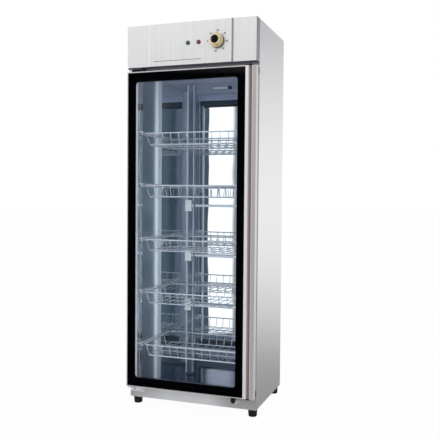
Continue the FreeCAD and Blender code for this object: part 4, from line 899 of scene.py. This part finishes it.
def lock_knob():
    """Lever knob: round below, straight sides above, with an upright grip rib."""
    outline = []
    for step in range(25):
        angle = math.pi + math.pi * step / 24
        outline.append((LOCK_HALF * math.cos(angle), LOCK_HALF * math.sin(angle)))
    outline += [(LOCK_HALF, 12.5), (9.2, 13.6), (8.2, 14.0), (-8.2, 14.0), (-9.2, 13.6), (-LOCK_HALF, 12.5)]
    bm = bmesh.new()
    rings = []
    for inset, depth in ((0.0, 14.0), (0.0, 20.2), (0.3, 20.8), (0.9, 21.0)):
        across, tall = 1 - inset / LOCK_HALF, 1 - inset / 12.0
        rings.append([bm.verts.new(mm(LOCK_X + x * across, -depth, LOCK_Z + z * tall)) for x, z in outline])
    add_skin(bm, rings)
    add_box(bm, LOCK_X - 2.5, LOCK_X + 2.5, -25.0, -20.5, 27.3, 48.0, 1.2, 3)
    piece("lock_grip", mesh_from(bm, "lock_grip"), LOOKS["cap_plastic"], "lock", ["lock_knob"],
          smooth=False)


# ------------------------------------------------------------------ stage and light

TEAL = (0.060, 0.100, 0.135)
CARD = (1.55, 1.47, 1.46)


def seen_outside(nodes, slope, level):
    """What outer surfaces mirror in front: a pale studio with one dark stretch opposite the glass."""
    dark = nodes.math("MULTIPLY", nodes.inside(slope, -0.60, -0.311, 0.003),
                      nodes.math("SUBTRACT", 1.0, nodes.step(level, 0.190, 0.004)))
    sky = nodes.blend(nodes.step(slope, 0.1, 0.02), (0.95, 0.95, 0.95), (0.20, 0.20, 0.22))
    pale = nodes.blend(nodes.step(level, 0.2, 0.01), (0.45, 0.46, 0.48), sky)
    front = nodes.blend(dark, pale, (0.004, 0.005, 0.006))
    side_light = nodes.math("GREATER_THAN", nodes.math("ABSOLUTE", slope), 0.62)
    return nodes.blend(side_light, front, (0.88, 0.88, 0.90))


def seen_through_glass(nodes, slope, level):
    """What the polished chamber mirrors: a dark room with one tall white card and a few pale strips."""
    room = TEAL
    for low, high, soft, color in (
            (0.4093, 0.4290, 0.0015, (0.120, 0.145, 0.195)),
            (0.4300, 0.4400, 0.002, (0.040, 0.068, 0.090)),
            (0.4680, 0.4800, 0.003, (0.085, 0.115, 0.170)),
            (0.4888, 0.4903, 0.0005, (0.36, 0.40, 0.46)),
            (0.4945, 0.4978, 0.0005, (0.80, 0.80, 0.86))):
        room = nodes.blend(nodes.inside(slope, low, high, soft), room, color)
    card = nodes.blend(nodes.step(level, -0.2105, 0.002), TEAL, CARD)
    card = nodes.blend(nodes.step(level, 0.170, 0.01), card, (0.95, 0.95, 0.97))
    faded = nodes.blend(nodes.step(slope, -0.3290, 0.0035), card, (0.34, 0.34, 0.35))
    front = nodes.blend(nodes.inside(slope, -0.371, -0.318, 0.0008), room, faded)
    return nodes.blend(nodes.step(level, 0.5, 0.05), front, (0.95, 0.95, 0.97))


def backdrop_world():
    """White to the camera, pale light for matt surfaces and a directional studio for mirrors."""
    world = bpy.data.worlds.new("studio")
    world.use_nodes = True
    bpy.context.scene.world = world
    nodes = Nodes(world.node_tree)
    path = nodes.add("ShaderNodeLightPath")
    split = nodes.add("ShaderNodeSeparateXYZ")
    nodes.join(nodes.add("ShaderNodeTexCoord").outputs["Generated"], split.inputs[0])
    x, y, z = split.outputs
    toward_front = nodes.math("MULTIPLY", y, -1.0)
    slope = nodes.math("DIVIDE", x, nodes.math("MAXIMUM", toward_front, 0.02))
    level = nodes.math("DIVIDE", z, nodes.math("SQRT", nodes.math(
        "ADD", nodes.math("MULTIPLY", x, x), nodes.math("MULTIPLY", y, y))))
    through = nodes.math("GREATER_THAN", path.outputs["Transmission Depth"], 0.5)
    front = nodes.blend(through, seen_outside(nodes, slope, level), seen_through_glass(nodes, slope, level))

    above = nodes.step(level, -0.02, 0.02)
    bell = nodes.math("ADD", level, 0.02)
    bell = nodes.math("MULTIPLY", nodes.math("MULTIPLY", bell, bell),
                      nodes.math("SUBTRACT", 17.0, nodes.math("MULTIPLY", above, 6.0)))
    back_level = nodes.math("SUBTRACT", 1.0, bell, clamp=True)
    back_end = nodes.blend(above, (0.24, 0.24, 0.24), (0.43, 0.44, 0.44))
    back = nodes.blend(back_level, back_end, (1.02, 1.02, 1.02))
    mirrored = nodes.blend(nodes.step(y, 0.0, 0.05), front, back)

    bounced = nodes.math("GREATER_THAN", path.outputs["Glossy Depth"], 0.5)
    straight = nodes.math("MULTIPLY", path.outputs["Is Transmission Ray"], nodes.math("SUBTRACT", 1.0, bounced))
    white = nodes.math("MAXIMUM", path.outputs["Is Camera Ray"], straight)
    metal = nodes.math("MAXIMUM", path.outputs["Is Glossy Ray"], path.outputs["Is Transmission Ray"])
    metal = nodes.math("MULTIPLY", metal, nodes.math("LESS_THAN", path.outputs["Diffuse Depth"], 0.5))
    soft = nodes.blend(through, (0.86, 0.87, 0.89), (1.35, 1.38, 1.42))
    final = nodes.blend(white, nodes.blend(metal, soft, mirrored), (1.0, 1.0, 1.0))
    light = nodes.add("ShaderNodeBackground", Strength=1.0)
    nodes.join(final, light.inputs["Color"])
    nodes.join(light.outputs[0], nodes.add("ShaderNodeOutputWorld").inputs["Surface"])


def floor():
    """Wide pale floor that keeps the object's shadow and is white to the camera."""
    bm = bmesh.new()
    bmesh.ops.create_circle(bm, cap_ends=True, segments=64, radius=40.0)
    mesh = mesh_from(bm, "floor")
    item = bpy.data.objects.new("floor", mesh)
    bpy.context.scene.collection.objects.link(item)
    made, nodes = material("floor_paper")
    matte = nodes.add("ShaderNodeBsdfDiffuse", Color=(0.80, 0.80, 0.80, 1))
    glow = nodes.add("ShaderNodeEmission", Color=(1, 1, 1, 1), Strength=1.0)
    path = nodes.add("ShaderNodeLightPath")
    nodes.finish(nodes.mixed(nodes.math("MULTIPLY", path.outputs["Is Camera Ray"], 0.965), matte, glow))
    mesh.materials.append(made)
    item.visible_glossy = False
    item.visible_transmission = False


def lamp_area(name, place, target, size, power):
    data = bpy.data.lights.new(name, "AREA")
    data.shape = "RECTANGLE"
    data.size, data.size_y = size
    data.energy = power
    item = bpy.data.objects.new(name, data)
    item.location = place
    item.rotation_euler = (Vector(target) - Vector(place)).to_track_quat("-Z", "Y").to_euler()
    item.visible_glossy = False
    item.visible_transmission = False
    bpy.context.scene.collection.objects.link(item)


dress_cad_nodes()
for number, height in enumerate(LEVELS, start=1):
    basket(number, height)
brackets()
timer_knob()
lamps()
dial_print()
engraved_groove_shade()
feet()
ceramic_holders()
heating_tubes()
thermostat_bulb()
lock_knob()
backdrop_world()
floor()
lamp_area("key", (-1.6, -3.2, 2.6), (0, 0, 0.9), (1.6, 1.6), 18.0)
